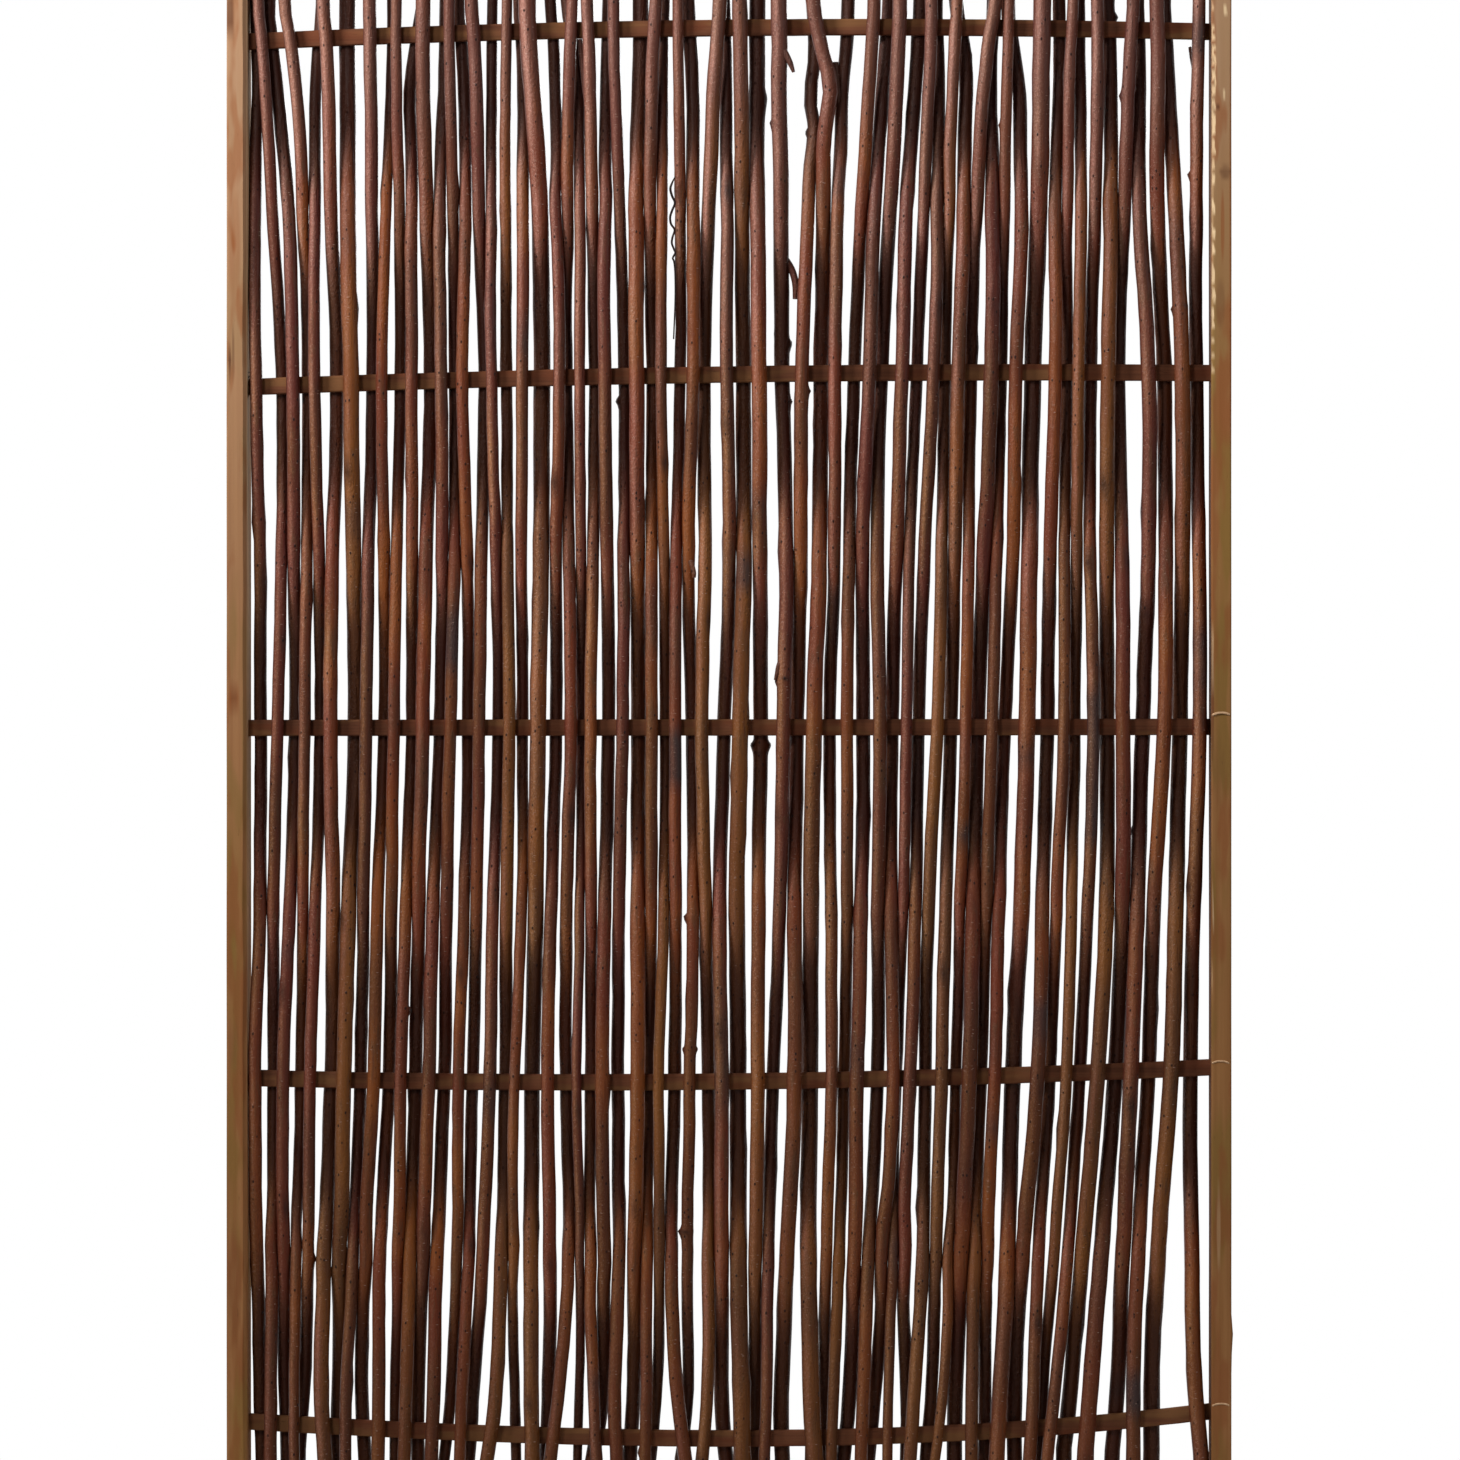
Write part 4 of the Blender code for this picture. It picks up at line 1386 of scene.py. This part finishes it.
def ringHeights(number):
    # A rod's own ring heights, closer together at its knobs
    density = np.ones(len(levels))
    for owner, level, _, _, half in knobs:
        if owner == number:
            density += rodLook["crowd"] * np.exp(-(((levels - level) / (half / 400)) ** 2))
    total = np.append(0, np.cumsum((density[1:] + density[:-1]) / 2))
    return np.interp(np.linspace(0, total[-1], rodLook["rings"]), total, levels)


def recessOn(turn, depth):
    # Painted shade on the side that faces the mid plane, where a rod swings away from it
    inside = np.clip(-2 * np.sin(turn) * np.sign(depth), 0, 1)
    start, run = rodLook["recess"]
    return inside * np.clip((np.abs(depth) - start) / run, 0, 1)


def paintedHighlightOn(turn, height):
    # Painted highlight: a pale strip on two opposite sides of a rod, less of it lower down
    aside = (turn - math.radians(rodLook["bloomSide"]) + math.pi / 2) % math.pi - math.pi / 2
    return np.exp(-((aside / rodLook["highlightHalf"]) ** 2)) * np.interp(height, *rodLook["highlightFade"])


def lumpOn(height, turn, rise, scar, level, facing, proud, half):
    # Raises a rounded lump with its steeper side up
    aside = (turn - math.radians(-facing) + math.pi) % (2 * math.pi) - math.pi
    up = height - level
    run = np.where(up > 0, half * 0.7, half * 1.3)
    mound = np.exp(-((up / run) ** 2) - (aside / rodLook["lumpHalf"]) ** 2)
    rise += proud * mound
    scar[:] = np.maximum(scar, np.clip(mound * 1.5 - 0.2, 0, 1))


def slateOn(number, height):
    edge = rodLook["slateEdge"]
    slate = np.zeros(len(height))
    for owner, low, high, amount in slates:
        if owner == number:
            span = np.clip((height - low) / edge + 0.5, 0, 1)
            span *= np.clip((high - height) / edge + 0.5, 0, 1)
            slate = np.maximum(slate, span * amount)
    return slate


def addTwigs(number):
    return [
        addTube(
            "twig",
            [spot[:3] for spot in spots],
            [spot[3] for spot in spots],
            rodLook["twigSides"],
            rodLook["twigRings"],
        )
        for owner, *spots in twigs
        if owner == number
    ]


def makeRod(row):
    look = rodLook
    number = row + 1
    sides = look["sides"]
    piece, ring, turn = addBlank(f"willowRod{number:02d}", sides, look["rings"])
    heights = ringHeights(number)
    height = heights[ring]
    # Joints of the bark, each with a bud scar on one side
    nodes = [levels[0] + random.uniform(0.01, 0.08)]
    while nodes[-1] < levels[-1]:
        nodes.append(nodes[-1] + random.uniform(*look["nodeRun"]))
    nodes = nodes[:-1]
    swell = np.zeros(len(heights))
    scar = np.zeros(len(ring))
    rise = np.zeros(len(ring))
    for count, node in enumerate(nodes):
        amount = look["swell"] * random.uniform(0.3, 1.3)
        swell += amount * np.exp(-(((heights - node) / look["swellRun"]) ** 2))
        facing = (count * look["budTurn"] + random.uniform(-30, 30) + row * 41) % 360
        proud = look["budRise"] * random.uniform(0.3, 1.2)
        half = random.uniform(*look["budHalf"]) / 1000
        lumpOn(height, turn, rise, scar, node, facing, proud, half)
    for owner, level, facing, proud, half in knobs:
        if owner == number:
            lumpOn(height, turn, rise, scar, level, facing, proud / 1000, half / 1000)
    oval = 1
    for bulges, amount in look["oval"]:
        oval = oval + amount * np.cos(bulges * (turn - random.uniform(0, 6)))
    ripple = random.normal(0, 1, (len(heights), sides))
    ripple = blur(ripple.T, 1).T * look["ripple"]
    side = np.rint((turn % (2 * math.pi)) / (2 * math.pi) * sides).astype(int) % sides
    middles, backs, thick = (np.interp(height, levels, run[row]) for run in (across, depths, radii))
    reach = (thick + swell[ring]) * oval + rise + ripple[ring, side]
    points = (middles + reach * np.cos(turn), backs + reach * np.sin(turn), height)
    setPoints(piece, np.stack(points, 1))
    marks = {
        # The height term is a painted tint of the light: rods plummer near the top, more ochre lower
        # down
        "tone": random.uniform() + (height - 0.8) * 0.3,
        "warmth": toneAlong(nodes, height),
        "stain": toneAlong(nodes, height),
        "scar": scar,
        "slate": slateOn(number, height),
        # Painted shade on each rod's left side
        "left": np.clip(-np.cos(turn), 0, 1),
        # Painted highlight strip
        "bloom": paintedHighlightOn(turn, height) * random.uniform(*look["bloom"]),
        # Painted shade on the side towards the mid plane
        "recess": recessOn(turn, backs),
    }
    twigPieces = addTwigs(number)
    extra = sum(len(twig.data.vertices) for twig in twigPieces)
    joinTo(piece, twigPieces)
    for mark, values in marks.items():
        # Twigs take the rod's own tone, and a little of every other mark
        onTwigs = values[0] if mark == "tone" else 0.3
        setMark(piece, mark, np.append(values, np.full(extra, onTwigs)))
    smooth(piece, 50)
    return piece


barkLook = {
    "red": (0.140, 0.0275, 0.0100),
    "orange": (0.225, 0.059, 0.0115),
    "ochre": (0.168, 0.066, 0.0145),
    "plum": (0.080, 0.0170, 0.0135),
    "umber": (0.062, 0.023, 0.0105),
    "grey": (0.080, 0.041, 0.020),
    "slate": (0.044, 0.028, 0.027),
    "coal": (0.014, 0.007, 0.006),
    "pale": (0.50, 0.33, 0.26),
    "coolTopTint": (0.115, 0.043, 0.031),
    "earthy": (0.080, 0.027, 0.0095),
    # Colour of the painted shade along each rod's left side
    "edge": (0.062, 0.010, 0.0085),
    # Colours of the painted highlight, the last one for near the top
    "sheenPink": (0.54, 0.208, 0.146),
    "sheenHoney": (0.53, 0.245, 0.105),
    "sheenTopPale": (0.51, 0.275, 0.215),
    # Colour of the painted shade on the side of a rod towards the mid plane
    "recessShade": (0.042, 0.0130, 0.0080),
    "relief": 0.001,
}


def makeBark():
    look = barkLook
    material, shader, place, normal = startMaterial("willowBark", {"Specular IOR Level": 0.09})
    tone, warmth, stain, scar, slate, left, bloom, recess = (
        markWire(place, name)
        for name in ("tone", "warmth", "stain", "scar", "slate", "left", "bloom", "recess")
    )
    level = place.add("ShaderNodeSeparateXYZ", None, {0: place}, "Z")
    streaks = place.stretch((700.0, 700.0, 30.0)).noise(1.0, 3.0, 0.6)
    patches = place.stretch((170.0, 170.0, 30.0)).noise(1.0, 3.0, 0.6, 0.5)
    clouds = place.stretch((75.0, 75.0, 11.0)).noise(1.0, 3.0, 0.6)
    grit = place.stretch((600.0, 600.0, 400.0)).noise(1.0, 1.0, 0.5)
    fine = place.stretch((1500.0, 1500.0, 900.0)).noise(1.0, 1.0, 0.5)
    dots, own = place.stretch((300.0, 300.0, 190.0)).spots(1.0)
    dot = (1 - dots.rise(0.16, 0.36)) * own.rise(0.84, 0.9)
    slits, other = place.stretch((150.0, 150.0, 420.0), (0.1, 0.2, 0.3)).spots(1.0)
    slit = (1 - slits.rise(0.10, 0.22)) * other.rise(0.72, 0.76)
    warm = (warmth * 0.95 + clouds.rise(0.35, 0.7) * 0.5 - 0.25).rise(0.1, 0.9)
    colour = warm.mix(look["red"], look["orange"])
    colour = ((1 - tone.rise(0.15, 0.4)) * 0.7).mix(colour, look["ochre"])
    colour = (tone.rise(0.5, 0.95) * 0.8).mix(colour, look["plum"])
    colour = ((stain * 1.1 + patches * 0.5).rise(0.6, 1.2) * 0.7).mix(colour, look["umber"])
    colour = (patches.rise(0.53, 0.7) * 0.5).mix(colour, look["grey"])
    # Painted tint of the light near the top: greyer pink
    colour = (level.rise(1.38, 1.50) * (patches * 0.8 + 0.3)).mix(colour, look["coolTopTint"])
    # Darker and browner towards the foot
    colour = ((1 - level.rise(0.25, 0.45)) * 0.45).mix(colour, look["earthy"])
    colour = (slate * (patches * 0.6 + 0.7)).mix(colour, look["slate"])
    colour = (stain + patches * 0.2).rise(1.08, 1.2).mix(colour, look["coal"])
    colour = (streaks.rise(0.5, 0.78) * 0.5).mix(colour, look["plum"])
    # Painted shade: each rod darker along its left side
    colour = (left.rise(0.6, 1.0) * 0.4).mix(colour, look["edge"])
    # Painted highlight: the strip turns pink or honey, and paler near the top
    paintedSheen = bloom * (clouds.rise(0.3, 0.7) * 0.45 + grit.rise(0.45, 0.7) * 0.3 + 0.2) * (1 - slate * 0.6)
    hue = (warmth * 0.8 + stain * 0.4 + patches * 0.4 - level.rise(0.9, 1.5) * 0.35).rise(0.3, 1.15)
    sheenColour = (level.rise(1.1, 1.5) * 0.6).mix(hue.mix(look["sheenPink"], look["sheenHoney"]), look["sheenTopPale"])
    colour = paintedSheen.mix(colour, sheenColour)
    # Painted glints: pale flecks, most of them on the painted highlight
    colour = (fine.rise(0.58, 0.72) * (bloom * 0.75 + 0.04)).mix(colour, look["pale"])
    colour = (slit * 0.4).mix(colour, look["pale"])
    colour = (dot * 0.9).mix(colour, look["coal"])
    colour = (scar * 0.75).mix(colour, look["coal"])
    # Painted shade on the side of a rod that faces the mid plane, where it swings away
    colour = (recess * (patches * 0.3 + 0.55)).mix(colour, look["recessShade"])
    gritty = clouds.rise(0.42, 0.62) * 0.9 + 0.25
    height = streaks * 0.1 + grit * gritty + fine * gritty * 0.35 + dot * 0.3 + slit * 0.15
    finishMaterial(
        place,
        shader,
        {
            "Base Color": colour,
            "Roughness": patches * 0.2 + 0.24,
            "Normal": normal.bump(height, 0.9, look["relief"]),
        },
    )
    return material


bark = makeBark()
for row in range(rodCount):
    piece = makeRod(row)
    number = row + 1
    if number in pairedRods:
        node = f"willow_rods_{number:02d}_{number + 1:02d}"
    elif number - 1 in pairedRods:
        node = f"willow_rods_{number - 1:02d}_{number:02d}"
    else:
        node = f"willow_rod_{number:02d}"
    settle(piece, bark, "willow_bark", node)
print("rods done")


# Thin dry tendril beside rod 30, and a tiny loop by the left post

tendril = {
    "wire": 0.0011,
    "sides": 8,
    "rings": 220,
    "points": (  # marks along the rule, and down from the picture's top
        (675.5, 178), (672.6, 184), (670.8, 190), (672.4, 197), (675.3, 204), (672.8, 211),
        (670.6, 218), (671.4, 225), (675.0, 231), (673.0, 238), (672.2, 244), (674.2, 250),
        (675.6, 254), (673.2, 259), (674.5, 263), (675.5, 275), (675.6, 300), (674.0, 340),
    ),
    "depth": -0.0105,
}
loop = {
    "wire": 0.00045,
    "sides": 8,
    "rings": 220,
    "points": (
        (249.6, 379), (248.6, 376.6), (248.2, 374.6), (249.2, 372.6),
        (250.6, 373.4), (250.8, 375.4), (249.8, 377.2), (248.0, 378.0),
    ),
    "depth": -0.0046,
}

photo = {"middle": 728, "mark": 0.0008991}  # the mark at the panel's middle height, and metres per mark


def markPlace(mark, down, depth):
    level = panel["height"] / 2 + (photo["middle"] - down) * photo["mark"]
    return (float(rulePlace(mark)), depth, level)


def makeTendril(name, look):
    points = [markPlace(*spot, look["depth"]) for spot in look["points"]]
    share = np.linspace(0, 1, len(points))
    radii = np.interp(share, (0, 0.1, 0.8, 1), (0.5, 1, 0.8, 0.6)) * look["wire"]
    piece = addTube(name, points, radii, look["sides"], look["rings"])
    setMark(piece, "stain", np.full(len(piece.data.vertices), 1.4))
    smooth(piece, 60)
    settle(piece, bark, "willow_bark")


makeTendril("tendril", tendril)
makeTendril("tendrilLoop", loop)
for blank, _, _ in blanks.values():
    bpy.data.objects.remove(blank, do_unlink=True)
print("tendril done")
